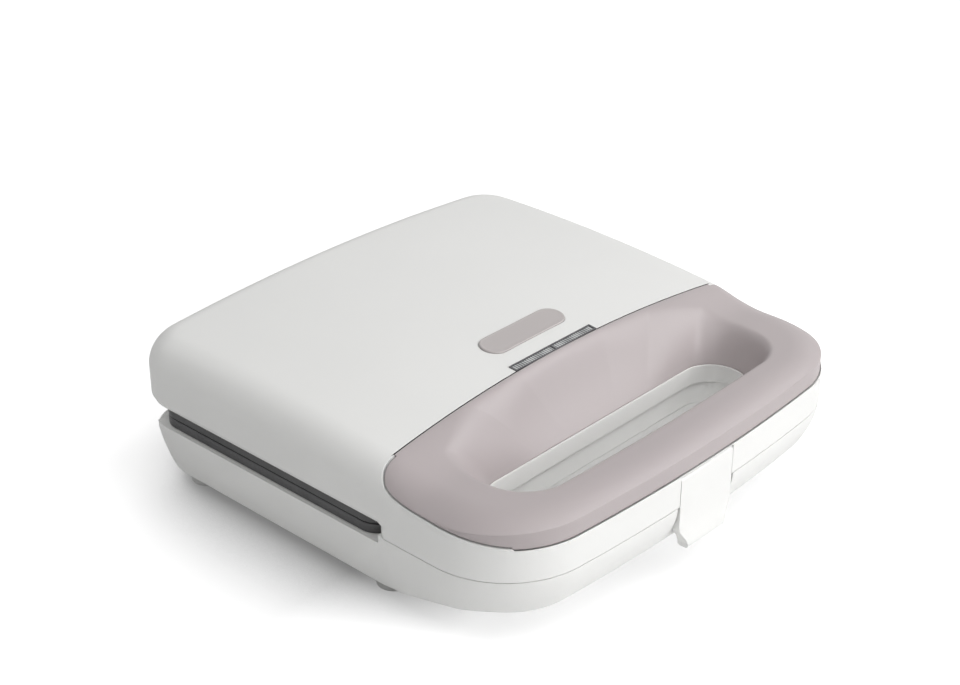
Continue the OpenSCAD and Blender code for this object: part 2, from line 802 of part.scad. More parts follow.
module foot_rear_left() {
  foot_form(-foot_x, foot_y[1]);
}

module foot_rear_right() {
  foot_form(foot_x, foot_y[1]);
}

module rating_label() {
  color(steel)
    block([-22, 46, low_z - 0.3], [22, 70, low_z]);
}

// plan of one triangular pocket: s = side, k = which half of the slice
function pocket_plan(s, k) =
  let (x0 = pocket_x0, x1 = pocket_x1, y0 = pocket_y0, y1 = pocket_y1, r = 5,
    g = pocket_gap * 1.5, h = pocket_gap * 1.9,
    c = k == 0 ? [[x0 + r, y0 + r], [x1 - g - 2.6 * r, y0 + r], [x0 + r, y1 - h - 2.6 * r]]
      : [[x1 - r, y1 - r], [x0 + g + 2.6 * r, y1 - r], [x1 - r, y0 + h + 2.6 * r]],
    base = k == 0 ? [180, -90, 60] : [0, 90, 240],
    span = [90, 130, 120],
    q = [for (j = [0:2]) for (i = [0:3]) let (a = base[j] + span[j] * i / 3) c[j] + r * [cos(a), sin(a)]])
  s > 0 ? q : [for (i = [11:-1:0]) [-q[i][0], q[i][1]]];

// pocket as a stack of shrinking rings, grown by g, rising from height z
module pocket_form(s, k, g, z) {
  p = pocket_plan(s, k);
  c = [for (m = [0, 1]) (p[1][m] + p[5][m] + p[9][m]) / 3];
  f = 1 + g / 24;
  low = g > 0 ? 0.6 : -0.6;
  tall = pocket_depth + (g > 0 ? plate_t - 0.6 : 0);
  steps = [[1.02, low], [1, 0], [0.93, 0.25 * tall], [0.84, 0.7 * tall], [0.74, tall]];
  used = g > 0 ? [for (i = [1:4]) steps[i]] : steps;
  skin([for (t = used) [for (q = p) let (w = c + (q - c) * t[0] * f) [w[0], w[1], z + t[1]]]]);
}

// cooking plate of the lid, with posts of height l
module plate_form(l) {
  z = lid_z;
  difference() {
    union() {
      pad(plate_width / 2, plate_front, plate_back, plate_r, z, z + rim_h);
      for (s = [-1, 1])
        for (k = [0, 1])
          pocket_form(s, k, plate_t, z + 0.6);
      for (p = plate_post_at)
        translate([p[0], p[1], z + 1])
          cylinder(r = post_r, h = l, $fn = 32);
    }
    for (s = [-1, 1])
      for (k = [0, 1])
        pocket_form(s, k, 0, z);
  }
}

module lower_plate() {
  color(dark)
    translate([0, 0, 2 * part_z])
      mirror([0, 0, 1])
        plate_form(rim_h + 3);
}

module upper_plate() {
  color(dark)
    plate_form(lid_post_z - lid_z - 1);
}

// heating tube bent to a U, its axis at height z
module element_form(z) {
  r = tube_d / 2;
  m = (tube_y[0] + tube_y[1]) / 2;
  b = (tube_y[1] - tube_y[0]) / 2;
  for (y = tube_y) {
    rod(-70, 50, y, z, r, 40);
    rod(-78, -70 + e, y, z, r - 0.5, 40);
    rod(-82, -78 + e, y, z, 1.2, 24);
  }
  translate([50 - e, m, z])
    rotate([0, 0, -90])
      rotate_extrude(angle = 180, $fn = 72)
        translate([b, 0])
          circle(r, $fn = 40);
}

module lower_element() {
  color(steel)
    element_form(lower_floor_z - tube_d / 2);
}

module upper_element() {
  color(steel)
    element_form(upper_floor_z + tube_d / 2);
}

// straps that hold the heating tube to the plate
module clamps_form(z, dir) {
  r = tube_d / 2;
  for (x = [-50, 30])
    for (y = tube_y) {
      z0 = z + dir * tube_d;
      block([x - 5, y - r - 5, min(z0, z0 + dir)], [x + 5, y + r + 5, max(z0, z0 + dir)]);
      for (s = [-1, 1])
        block([x - 5, y + s * (r + 3) - 2, min(z, z0)], [x + 5, y + s * (r + 3) + 2, max(z, z0)]);
    }
}

module lower_clamps() {
  color(steel)
    clamps_form(lower_floor_z, -1);
}

module upper_clamps() {
  color(steel)
    clamps_form(upper_floor_z, 1);
}

// thin sheet that throws the heat back to the plate
module sheet_form(z, dir) {
  difference() {
    union() {
      block([-81, -28, z], [81, 62, z + sheet_t]);
      for (y = [-28, 62 - sheet_t])
        block([-81, y, min(z, z + dir * 3)], [81, y + sheet_t, max(z + sheet_t, z + dir * 3)]);
    }
    for (x = [-70, 0, 70])
      translate([x, 16, z - 5])
        cylinder(r = 5, h = 10, $fn = 40);
  }
}

module lower_reflector() {
  color(steel)
    sheet_form(lower_sheet_z, 1);
}

module upper_reflector() {
  color(steel)
    sheet_form(upper_sheet_z, -1);
}

module thermostat() {
  color(lens)
    translate([-34, 16, lower_floor_z - 6.4]) {
      cylinder(r = 7.5, h = 6.4, $fn = 48);
      translate([-3, -11, 1])
        cube([6, 22, 0.8]);
    }
}

module thermal_fuse() {
  color(lens) {
    rod(26, 42, 16, lower_floor_z - 2.2, 2.2, 32);
    rod(20, 48, 16, lower_floor_z - 2.2, 0.6, 16);
  }
}

module terminal_block() {
  color([0.95, 0.95, 0.93])
    difference() {
      block([-20, 68, low_z + cover_t], [20, 80, low_z + cover_t + 9]);
      for (x = [-13, 0, 13])
        translate([x, 60, low_z + cover_t + 4.5])
          rotate([-90, 0, 0])
            cylinder(r = 1.8, h = 30, $fn = 24);
      for (x = [-13, 0, 13])
        translate([x, 74, low_z + cover_t + 6])
          cylinder(r = 2, h = 9, $fn = 24);
    }
}

// insulated wires inside the base
module base_wiring() {
  z = low_z + cover_t + 4.5;
  color([0.75, 0.72, 0.66]) {
    translate([-13, 61, z])
      rotate([-90, 0, 0])
        cylinder(r = 1.5, h = 10, $fn = 20);
    rod(-84, -13, 62.5, z, 1.5, 20);
    translate([-84, -12, z])
      rotate([-90, 0, 0])
        cylinder(r = 1.5, h = 74.5, $fn = 20);
    translate([-84, -12, z])
      cylinder(r = 1.5, h = lower_floor_z - tube_d / 2 - z, $fn = 20);
    translate([13, 61, z])
      rotate([-90, 0, 0])
        cylinder(r = 1.5, h = 10, $fn = 20);
    rod(13, 88, 62.5, z, 1.5, 20);
    for (p = [[-84, 62.5], [-13, 62.5], [13, 62.5], [-84, -12]])
      translate([p[0], p[1], z])
        sphere(1.5, $fn = 20);
    translate([0, 80, z])
      rotate([-90, 0, 0])
        cylinder(r = 1.5, h = 4, $fn = 20);
  }
}

// insulated wires inside the lid
module lid_wiring() {
  z = upper_sheet_z + 4;
  color([0.75, 0.72, 0.66]) {
    translate([-84, -12, upper_floor_z + tube_d / 2])
      cylinder(r = 1.5, h = z - upper_floor_z - tube_d / 2, $fn = 20);
    translate([-84, -30, z])
      rotate([-90, 0, 0])
        cylinder(r = 1.5, h = 100, $fn = 20);
    rod(-84, -14, -30, z, 1.5, 20);
    rod(-84, -30, 70, z, 1.5, 20);
    for (p = [[-84, -30], [-84, 70], [-84, -12]])
      translate([p[0], p[1], z])
        sphere(1.5, $fn = 20);
  }
}

module cord_gland() {
  color(white)
    difference() {
      union() {
        // squared body in the wall, so that it can't turn
        square_on_cord(gland_bore / 2 + 1.9, back_reach - 9.5, back_reach - 1);
        square_on_cord(gland_bore / 2 + 4.2, back_reach - 3.2, back_reach - 0.8);
        translate([gland_x, back_reach - 1.5, gland_z])
          rotate([-90, 0, 0])
            cylinder(r = gland_bore / 2 + 1.9, h = 6.5, $fn = 48);
        for (k = [0:2])
          translate([gland_x, back_reach + 1 + 1.5 * k, gland_z])
            rotate([-90, 0, 0])
              cylinder(r = gland_bore / 2 + 2.6, h = 0.8, $fn = 48);
      }
      translate([gland_x, back_reach - 12, gland_z])
        rotate([-90, 0, 0])
          cylinder(r = gland_bore / 2, h = 30, $fn = 48);
    }
}

module hinge_pin_form(s) {
  color(steel) {
    rod(s * 67 - 17, s * 67 + 17, hinge_y, hinge_z, hinge_pin_d / 2, 64);
    x = s * 67 + (s > 0 ? 17 - e : -18.5);
    rod(x, x + 1.5, hinge_y, hinge_z, hinge_pin_d / 2 + 1, 48);
  }
}

module hinge_pin_left() {
  hinge_pin_form(-1);
}

module hinge_pin_right() {
  hinge_pin_form(1);
}

module lamp_form(s) {
  color([0.95, 0.6, 0.3])
    translate([s * (window_length / 2 + 0.3), split_y + 1.8, 66]) {
      cylinder(r = 1.5, h = 3, $fn = 32);
      translate([0, 0, 3])
        sphere(1.5, $fn = 32);
    }
}

module lamp_left() {
  lamp_form(-1);
}

module lamp_right() {
  lamp_form(1);
}

module lamp_holder() {
  color([0.3, 0.45, 0.35])
    block([-window_length - 2, split_y + 1.4, 64.6], [window_length + 2, split_y + 6.4, 66]);
}

module handle_screws() {
  color(steel)
    for (p = handle_screw_at)
      translate([p[0], p[1], 0])
        screw_form(lid_z + 1.4, 11);
}

module latch_pin() {
  color(steel)
    rod(-latch_half - 3.8, latch_half + 3.8, latch_y, latch_z, latch_pin_d / 2, 32);
}

module latch_clip() {
  f = -front_reach + 0.1;
  w = latch_half;
  k = latch_low_z;
  r = latch_r;
  color(white)
    difference() {
      intersection() {
        along_x(-w - 1, w + 1)
          union() {
            translate([latch_y, latch_z])
              circle(r, $fn = 64);
            polygon([[f, latch_z], [f, 27], [f - 1.3, 20], [f - 1.2, k + 0.8], [f - 0.4, k],
              [f + 3.2, k], [f + 4, k + 0.8], [f + 4, high_z + 1.7], [f + 3.5, high_z + 4],
              [f + 3.5, latch_z - 3], [f + 2.6 + r, latch_z - 1.6], [f + 2.6 + r, latch_z]]);
          }
        rotate([90, 0, 0])
          linear_extrude(front_reach + 20)
            polygon([[-w, 60], [-w, 27], [-w + 4, 21], [-w + 5.5, k - 1],
              [w - 5.5, k - 1], [w - 4, 21], [w, 27], [w, 60]]);
      }
      rod(-w - 2, w + 2, latch_y, latch_z, latch_pin_d / 2 + 0.05, 32);
    }
}

// moves a piece from the datum to the origin
module placed() {
  translate([0, datum_y, 0])
    children();
}

placed() base_shell();
placed() bottom_cover();
placed() foot_front_left();
placed() foot_front_right();
placed() foot_rear_left();
placed() foot_rear_right();
placed() lower_plate();
placed() lower_element();
placed() lower_clamps();
placed() lower_reflector();
placed() thermostat();
placed() thermal_fuse();
placed() terminal_block();
placed() base_wiring();
placed() cord_gland();
placed() cover_screws();
placed() rating_label();
placed() hinge_pin_left();
placed() hinge_pin_right();
placed() lid_shell();
placed() handle_trim();
placed() badge();
placed() window_bezel();
placed() lens_left();
placed() lens_right();
placed() lamp_left();
placed() lamp_right();
placed() lamp_holder();
placed() upper_plate();
placed() upper_element();
placed() upper_clamps();
placed() upper_reflector();
placed() lid_wiring();
placed() handle_screws();
placed() latch_pin();
placed() latch_clip();
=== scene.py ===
import math

import bmesh
import bpy
import numpy as np
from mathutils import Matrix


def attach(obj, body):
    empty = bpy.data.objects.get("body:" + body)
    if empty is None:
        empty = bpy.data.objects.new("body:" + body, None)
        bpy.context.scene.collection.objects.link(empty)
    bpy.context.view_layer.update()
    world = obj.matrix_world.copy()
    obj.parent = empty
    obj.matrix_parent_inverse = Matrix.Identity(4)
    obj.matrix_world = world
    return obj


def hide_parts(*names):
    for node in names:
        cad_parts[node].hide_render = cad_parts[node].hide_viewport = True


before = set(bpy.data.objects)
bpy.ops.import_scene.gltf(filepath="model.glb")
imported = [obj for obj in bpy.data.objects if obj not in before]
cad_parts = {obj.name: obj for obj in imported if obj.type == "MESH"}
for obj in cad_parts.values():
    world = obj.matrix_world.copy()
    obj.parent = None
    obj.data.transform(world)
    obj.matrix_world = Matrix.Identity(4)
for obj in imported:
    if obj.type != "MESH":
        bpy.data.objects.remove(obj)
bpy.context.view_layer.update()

# ---------------------------------------------------------------- sizes, in mm
# y is counted from the datum of the source; DY brings it to the origin
DY = 8.6
# body in plan: half width, reach to the front and back, bow of the front, corners
HW = 112.5
FRONT = 123.0
BACK = 102.0
BOW_R = 920.0
FRONT_R = 40.0
BACK_R = 21.0
BOW_Y = BOW_R - FRONT
FRONT_R_Y = BOW_Y - math.sqrt((BOW_R - FRONT_R) ** 2 - (HW - FRONT_R) ** 2)
# heights: parting line, lid and base at its gap, top of the lid, ledge under the trim
PART_Z = 38.0
GAP = 0.3
LID_Z = PART_Z + GAP / 2
BASE_Z = PART_Z - GAP / 2
TOP_Z = 77.775
TRIM_Z = 52.5
# rolled edge of the lid
EDGE_R = 13.0
# crown of the lid: fall at 100 mm to the side, fall at 100 mm along, y of its top
CROWN_X = 4.62
CROWN_Y = 4.9
CROWN_MID = 52
WALL = 2.6
# slot between lid and base that shows the rims of the plates
SLOT_Y = -48.5
SLOT_R = 1.5
RIM_H = 4.3
LID_RIM = LID_Z + RIM_H
BASE_RIM = BASE_Z - RIM_H
REAR_Y = BACK - 13
REAR_Z = PART_Z - 9.2
# room over and under the plates: half width, front, back, corner radius
WELL = (103.5, -42.3, 83, 8)
# finger opening and its walls
OPEN_L = 154.0
OPEN_D = 30.4
OPEN_Y = -FRONT + 43.2
TUBE_IN = 1.2
RIM_IN = TRIM_Z - 5.9
# trim: thickness, gap to the lid, line where it meets the lid, start of its corners
TRIM_SKIN = 2.4
TRIM_GAP = 0.5
TRIM_IN = 0.8
SPLIT_Y = -42.8
SPLIT_R = 1389.0
CORNER_X = 100
# hinges: axis, middle of each barrel, middles of its ears, radius
HINGE_Y = BACK - 4
HINGE_Z = PART_Z
HINGE_X = 67
EARS_X = (54, 80)
HINGE_R = 4.5
# latch: pin, half width, lower end
LATCH_Y = -FRONT + 2.7
LATCH_Z = TRIM_Z - 3.7
LATCH_R = 2.6
LATCH_HALF = 17.0
LATCH_LOW = 16.3
# badge, windows and cord entry
BADGE_Y = -23.6
BADGE_L = 48
BADGE_W = 13.4
WINDOW_HALF = (25.75, 2.25)
GLAND_X = 30
GLAND_Z = 18
# plates
PLATE_HW = 109.5
PLATE_Y0 = SLOT_Y + 1.5
PLATE_Y1 = REAR_Y - 1
PLATE_R = 10.0
PLATE_T = 2.4
POCKET_DEPTH = 11.0
POCKET_R = 5.0


def crown(x, y):
    """Height of the lid's top."""
    return TOP_Z - CROWN_X * (x / 100) ** 2 - CROWN_Y * ((y - CROWN_MID) / 100) ** 2


def crown_tilt(y):
    """Slope of the lid's top along y, as an angle."""
    return math.atan(2 * CROWN_Y * (CROWN_MID - y) / 10000)


def smooth(u):
    t = np.clip(u, 0, 1)
    return t * t * (3 - 2 * t)


# ---------------------------------------------------------------- outlines
def half_outline(d, n=(44, 30, 70, 18, 26)):
    """Right half of the body in plan, inset by d, from the front to the back."""
    rc, rb = max(FRONT_R, d + 1), max(BACK_R, d + 1)
    s = math.sqrt((BOW_R - rc) ** 2 - (HW - rc) ** 2)
    cy, ye = BOW_Y - s, BACK - rb
    phi = math.atan2(-s, HW - rc)
    pts = []
    for i in range(n[0]):
        a = -math.pi / 2 + (phi + math.pi / 2) * i / n[0]
        pts.append(((BOW_R - d) * math.cos(a), BOW_Y + (BOW_R - d) * math.sin(a)))
    for i in range(n[1]):
        a = phi - phi * i / n[1]
        pts.append((HW - rc + (rc - d) * math.cos(a), cy + (rc - d) * math.sin(a)))
    for i in range(n[2]):
        pts.append((HW - d, cy + (ye - cy) * i / n[2]))
    for i in range(n[3]):
        a = math.pi / 2 * i / n[3]
        pts.append((HW - rb + (rb - d) * math.cos(a), ye + (rb - d) * math.sin(a)))
    for i in range(n[4] + 1):
        pts.append(((HW - rb) * (1 - i / n[4]), BACK - d))
    pts[0] = (0.0, pts[0][1])
    pts[-1] = (0.0, pts[-1][1])
    return np.array(pts)


def whole(h):
    """Closed loop from its right half."""
    back = h[-2:0:-1].copy()
    back[:, 0] *= -1
    return np.vstack([h, back])


def outline(d, **k):
    return whole(half_outline(d, **k))


def outline2(a, b):
    """Outline inset by a ahead of the slot and by b behind it."""
    p, q = outline(a), outline(b)
    w = np.clip((p[:, 1] - SLOT_Y + 3) / 3, 0, 1)[:, None]
    return p + (q - p) * w


def ahead_of(p, y, eye_y):
    """Points of p ahead of y, in their turn round (0, eye_y)."""
    p = p[p[:, 1] < y]
    return p[np.argsort(np.arctan2(p[:, 1] - eye_y, p[:, 0]))]


def round_rect(a, y0, y1, r, k=16):
    """Rounded rectangle of half width a, with k steps in each corner."""
    pts = []
    x, front, back = a - r, y0 + r, y1 - r
    for cx, cy, g in ((x, front, -90), (x, back, 0), (-x, back, 90), (-x, front, 180)):
        for i in range(k + 1):
            t = math.radians(g + 90 * i / k)
            pts.append((cx + r * math.cos(t), cy + r * math.sin(t)))
    return pts


def disc(cy, cz, r, k=64):
    turn = [2 * math.pi * i / k for i in range(k)]
    return [(cy + r * math.cos(t), cz + r * math.sin(t)) for t in turn]


def pill_plan(l, w, g=0.0, k=32):
    """Rectangle with round ends, grown by g."""
    r = w / 2 + g
    c = (l - w) / 2
    pts = []
    for x, start in ((c, -math.pi / 2), (-c, math.pi / 2)):
        for i in range(k + 1):
            t = start + math.pi * i / k
            pts.append((x + r * math.cos(t), r * math.sin(t)))
    return np.array(pts)


def slot_corner(z, start):
    """Quarter round at the closed end of the slot, about z."""
    turn = [math.radians(start - 90 * i / 12) for i in range(13)]
    y = SLOT_Y + SLOT_R
    return [(y + SLOT_R * math.cos(t), z + SLOT_R * math.sin(t)) for t in turn]


def split_at(x):
    """Rear edge of the trim in plan."""
    return SPLIT_Y - TRIM_GAP - (SPLIT_R - np.sqrt(SPLIT_R ** 2 - x * x))


# ---------------------------------------------------------------- meshes
def lift(p, z):
    return np.column_stack([p, np.broadcast_to(z, len(p))])


def make(name, pts, faces):
    """Mesh object from points in mm."""
    me = bpy.data.meshes.new(name)
    pts = (np.asarray(pts, float) + (0, DY, 0)) * 0.001
    me.from_pydata(pts.tolist(), [], [tuple(int(i) for i in f) for f in faces])
    me.update()
    bm = bmesh.new()
    bm.from_mesh(me)
    bmesh.ops.recalc_face_normals(bm, faces=bm.faces)
    bm.to_mesh(me)
    bm.free()
    ob = bpy.data.objects.new(name, me)
    bpy.context.scene.collection.objects.link(ob)
    return ob


def ring_faces(n, count, start=0, closed=False):
    """Quads between each two of the rings of n points that begin at start."""
    faces = []
    for k in range(count if closed else count - 1):
        a = start + k * n
        b = start + (k + 1) % count * n
        for i in range(n):
            j = (i + 1) % n
            faces.append((a + i, b + i, b + j, a + j))
    return faces


def skin(name, rings, first=None, last=None):
    """Closed skin over rings of equal length, with a middle point at each end."""
    n, m = len(rings[0]), len(rings)
    if first is None:
        first = (rings[0][0] + rings[0][n // 2]) / 2
    if last is None:
        last = (rings[-1][0] + rings[-1][n // 2]) / 2
    faces = ring_faces(n, m)
    t = (m - 1) * n
    for i in range(n):
        j = (i + 1) % n
        faces.append((i, j, m * n))
        faces.append((t + j, t + i, m * n + 1))
    return make(name, np.vstack([*rings, first, last]), faces)


def slab(name, a, b):
    """Solid between two loops with as many points."""
    n = len(a)
    faces = [(i, (i + 1) % n, n + (i + 1) % n, n + i) for i in range(n)]
    faces += [tuple(range(n))[::-1], tuple(range(n, 2 * n))]
    return make(name, np.vstack([a, b]), faces)


def prism(plan, z0, z1):
    plan = np.asarray(plan, float)
    return slab("tool", lift(plan, z0), lift(plan, z1))


def prism_x(prof, x0, x1, name="tool"):
    """Profile in y, z pushed along x."""
    prof = np.asarray(prof, float)
    n = len(prof)
    return slab(name, *(np.column_stack([np.full(n, x), prof]) for x in (x0, x1)))


def prism_y(prof, y0, y1):
    """Profile in x, z pushed along y."""
    return slab("tool", *(np.array([(x, y, z) for x, z in prof]) for y in (y0, y1)))


def on_crown(pts, y0):
    """Points in a local frame on the lid at x 0, y y0, turned to its slope."""
    a = crown_tilt(y0)
    c, s = math.cos(a), math.sin(a)
    x, y, z = np.asarray(pts, float).T
    return np.column_stack([x, y0 + c * y - s * z, crown(0, y0) + s * y + c * z])


def prism_on_crown(plan, z0, z1, y0):
    return slab("tool", on_crown(lift(plan, z0), y0), on_crown(lift(plan, z1), y0))


def box(lo, hi):
    plan = [(lo[0], lo[1]), (hi[0], lo[1]), (hi[0], hi[1]), (lo[0], hi[1])]
    return prism(plan, lo[2], hi[2])


def boolean(ob, op, *tools):
    for t in tools:
        mod = ob.modifiers.new("cut", "BOOLEAN")
        mod.operation = op
        mod.solver = "MANIFOLD"
        mod.object = t
    dg = bpy.context.evaluated_depsgraph_get()
    dg.update()
    new = bpy.data.meshes.new_from_object(ob.evaluated_get(dg))
    old = ob.data
    ob.modifiers.clear()
    ob.data = new
    bpy.data.meshes.remove(old)
    for t in tools:
        me = t.data
        bpy.data.objects.remove(t)
        bpy.data.meshes.remove(me)
    return ob


def cut(ob, *tools):
    return boolean(ob, "DIFFERENCE", *tools)


def join(ob, *tools):
    return boolean(ob, "UNION", *tools)


def tidy(ob, dist=0.004):
    """Join points closer than dist mm."""
    bm = bmesh.new()
    bm.from_mesh(ob.data)
    bmesh.ops.remove_doubles(bm, verts=bm.verts, dist=dist / 1000)
    bmesh.ops.dissolve_degenerate(bm, edges=bm.edges, dist=dist / 1000)
    bm.to_mesh(ob.data)
    bm.free()


def shade(ob, angle=32):
    """Smooth shading, with edges over the angle kept sharp."""
    ob.data.shade_smooth()
    bm = bmesh.new()
    bm.from_mesh(ob.data)
    lim = math.radians(angle)
    for e in bm.edges:
        e.smooth = len(e.link_faces) == 2 and e.calc_face_angle(0) < lim
    bm.to_mesh(ob.data)
    bm.free()


# ---------------------------------------------------------------- materials
def shader(name, color, rough, **sockets):
    mat = bpy.data.materials.new(name)
    mat.use_nodes = True
    nt = mat.node_tree
    b = nt.nodes["Principled BSDF"]
    b.inputs["Base Color"].default_value = (*color, 1)
    b.inputs["Roughness"].default_value = rough
    for k, v in sockets.items():
        b.inputs[k.replace("_", " ")].default_value = v
    return mat, nt, b


def texture(nt, kind, scale):
    """Texture node on the object's own coordinates."""
    tc = nt.nodes.get("Texture Coordinate") or nt.nodes.new("ShaderNodeTexCoord")
    n = nt.nodes.new(kind)
    n.inputs["Scale"].default_value = scale
    nt.links.new(tc.outputs["Object"], n.inputs["Vector"])
    return n


def noise(nt, scale, detail=3, rough=0.55):
    n = texture(nt, "ShaderNodeTexNoise", scale)
    n.inputs["Detail"].default_value = detail
    n.inputs["Roughness"].default_value = rough
    return n.outputs["Fac"]


def span(nt, src, a, b, lo, hi):
    """Value that goes from lo to hi while src goes from a to b."""
    r = nt.nodes.new("ShaderNodeMapRange")
    r.inputs["From Min"].default_value = a
    r.inputs["From Max"].default_value = b
    r.inputs["To Min"].default_value = lo
    r.inputs["To Max"].default_value = hi
    nt.links.new(src, r.inputs["Value"])
    return r.outputs["Result"]


def calc(nt, operation, a, b):
    n = nt.nodes.new("ShaderNodeMath")
    n.operation = operation
    nt.links.new(a, n.inputs[0])
    nt.links.new(b, n.inputs[1])
    return n.outputs["Value"]


def tint(nt, b, fac, c1, c2):
    mix = nt.nodes.new("ShaderNodeMix")
    mix.data_type = "RGBA"
    mix.inputs["A"].default_value = (*c1, 1)
    mix.inputs["B"].default_value = (*c2, 1)
    nt.links.new(fac, mix.inputs["Factor"])
    nt.links.new(mix.outputs["Result"], b.inputs["Base Color"])


def round_edges(nt, radius):
    """Normal that rounds the edges in the shading, radius in mm."""
    bev = nt.nodes.new("ShaderNodeBevel")
    bev.samples = 4
    bev.inputs["Radius"].default_value = radius / 1000
    return bev.outputs["Normal"]


def bump(nt, b, height, strength, inner=None, distance=0.0001):
    n = nt.nodes.new("ShaderNodeBump")
    n.inputs["Strength"].default_value = strength
    n.inputs["Distance"].default_value = distance
    nt.links.new(height, n.inputs["Height"])
    if inner is not None:
        nt.links.new(inner, n.inputs["Normal"])
    nt.links.new(n.outputs["Normal"], b.inputs["Normal"])


def moulded(name, c1, c2, rough, grain, strength, edge):
    """Moulded plastic: fine grain, faint cloudiness, rounded edges."""
    mat, nt, b = shader(name, c1, rough)
    big = noise(nt, 9, 3)
    fine = noise(nt, grain, 2, 0.6)
    tint(nt, b, span(nt, big, 0.35, 0.65, 0, 1), c1, c2)
    nt.links.new(span(nt, big, 0.3, 0.7, rough - 0.05, rough + 0.05), b.inputs["Roughness"])
    bump(nt, b, fine, strength, round_edges(nt, edge))
    return mat


def coated(name):
    """Dark non-stick coat: tiny pebbles, lighter where it is rubbed."""
    mat, nt, b = shader(name, (0.055, 0.055, 0.057), 0.42, Metallic=0.25)
    big = noise(nt, 22, 4)
    fine = noise(nt, 1500, 3, 0.7)
    pebbles = texture(nt, "ShaderNodeTexVoronoi", 1200)
    tint(nt, b, span(nt, big, 0.35, 0.7, 0, 1), (0.05, 0.05, 0.052), (0.085, 0.085, 0.086))
    nt.links.new(span(nt, fine, 0.3, 0.7, 0.34, 0.52), b.inputs["Roughness"])
    bump(nt, b, pebbles.outputs["Distance"], 0.25, round_edges(nt, 0.5))
    return mat


def metal(name, color, rough, grain=900):
    mat, nt, b = shader(name, color, rough, Metallic=1.0)
    fine = noise(nt, grain, 4, 0.7)
    big = noise(nt, 40, 3)
    nt.links.new(span(nt, fine, 0.3, 0.7, rough - 0.08, rough + 0.1), b.inputs["Roughness"])
    tint(nt, b, span(nt, big, 0.35, 0.65, 0, 1), color, tuple(v * 0.86 for v in color))
    bump(nt, b, fine, 0.12)
    return mat


def woven(name):
    mat, nt, b = shader(name, (0.55, 0.50, 0.40), 0.85)
    w = texture(nt, "ShaderNodeTexWave", 420)
    w.bands_direction = "DIAGONAL"
    tint(nt, b, w.outputs["Fac"], (0.50, 0.46, 0.37), (0.62, 0.58, 0.48))
    bump(nt, b, w.outputs["Fac"], 0.5, distance=0.0003)
    return mat


def ribbed(name):
    """Smoky window with fine ribs across it, painted as dark and light stripes of shade and
    highlight.
    """
    mat, nt, b = shader(name, (0.46, 0.47, 0.475), 0.25, IOR=1.49, Transmission_Weight=0.12)
    big = noise(nt, 60, 3)
    nt.links.new(span(nt, big, 0.3, 0.7, 0.14, 0.26), b.inputs["Roughness"])
    # painted shade and highlight: dark and light stripes across the window stand in for its ribs
    painted_rib_shade = texture(nt, "ShaderNodeTexWave", 230)
    tint(nt, b, painted_rib_shade.outputs["Fac"], (0.16, 0.165, 0.17), (0.66, 0.67, 0.67))
    bump(nt, b, noise(nt, 900, 2), 0.03)
    return mat


def glass(name):
    mat, nt, b = shader(name, (0.80, 0.38, 0.15), 0.12, IOR=1.5, Transmission_Weight=0.5)
    bump(nt, b, noise(nt, 700, 2), 0.06)
    return mat


WHITE = moulded("white moulding", (0.80, 0.80, 0.785), (0.82, 0.82, 0.805), 0.46, 2600, 0.10, 0.4)
COVER = moulded("cover moulding", (0.78, 0.78, 0.765), (0.80, 0.80, 0.785), 0.55, 1800, 0.20, 0.3)
PINK = moulded("pink moulding", (0.435, 0.39, 0.394), (0.453, 0.407, 0.409), 0.42, 2200, 0.07, 0.5)
# painted shade: near black for the faces inside the seams, where only shade falls
SEAM_SHADE = moulded("painted seam shade", (0.02, 0.02, 0.02), (0.03, 0.03, 0.03), 0.8, 1800, 0.1, 0.1)
PILL = moulded("badge plate", (0.465, 0.43, 0.425), (0.485, 0.45, 0.444), 0.38, 2200, 0.08, 0.3)
FRAME = moulded("window frame", (0.10, 0.10, 0.105), (0.13, 0.13, 0.135), 0.5, 2200, 0.1, 0.2)
RUBBER = moulded("foot rubber", (0.58, 0.58, 0.57), (0.62, 0.62, 0.61), 0.7, 1600, 0.4, 0.5)
BOARD = moulded("lamp board", (0.07, 0.14, 0.085), (0.08, 0.16, 0.09), 0.6, 1200, 0.2, 0.2)
PORCELAIN = moulded("terminal block", (0.78, 0.77, 0.72), (0.80, 0.79, 0.75), 0.3, 1500, 0.1, 0.3)
CAST = coated("plate coat")
SHEET = metal("bright sheet", (0.78, 0.78, 0.77), 0.25)
TUBE = metal("element sheath", (0.20, 0.18, 0.16), 0.5)
STEEL = metal("plated steel", (0.60, 0.60, 0.60), 0.32)
FOIL = metal("label foil", (0.72, 0.72, 0.72), 0.38, 400)
SLEEVE = woven("woven sleeve")
LENS = ribbed("ribbed window")
LAMP = glass("lamp glass")


def piece(ob, body, mat, slot, *nodes):
    ob.data.materials.clear()
    ob.data.materials.append(mat)
    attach(ob, body)
    if nodes:
        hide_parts(*nodes)
    return ob


def paint_seam_shade(ob, gets_seam_shade):
    """Second material, a near-black painted shade, on the faces inside a seam."""
    ob.data.materials.append(SEAM_SHADE)
    for f in ob.data.polygons:
        c = f.center * 1000
        if gets_seam_shade(abs(c.x), c.y - DY, c.z, f.normal):
            f.material_index = 1


# ---------------------------------------------------------------- shared tools
# line of the seam at the trim's rear corners, from the side: y and height
SIDE_LINE = np.array([
    (-15, 0), (-9.6, 0.5), (-4.8, 1.2), (0.6, 1.9), (4.6, 2.4), (9.1, 3), (16.7, 3.5), (24.2, 3.9),
    (31.3, 4.4), (36.9, 5.2), (40.4, 6.2), (43, 7.5), (44.8, 9.1), (46.3, 11), (47.5, 13.2),
    (48, 15.5),
], float)


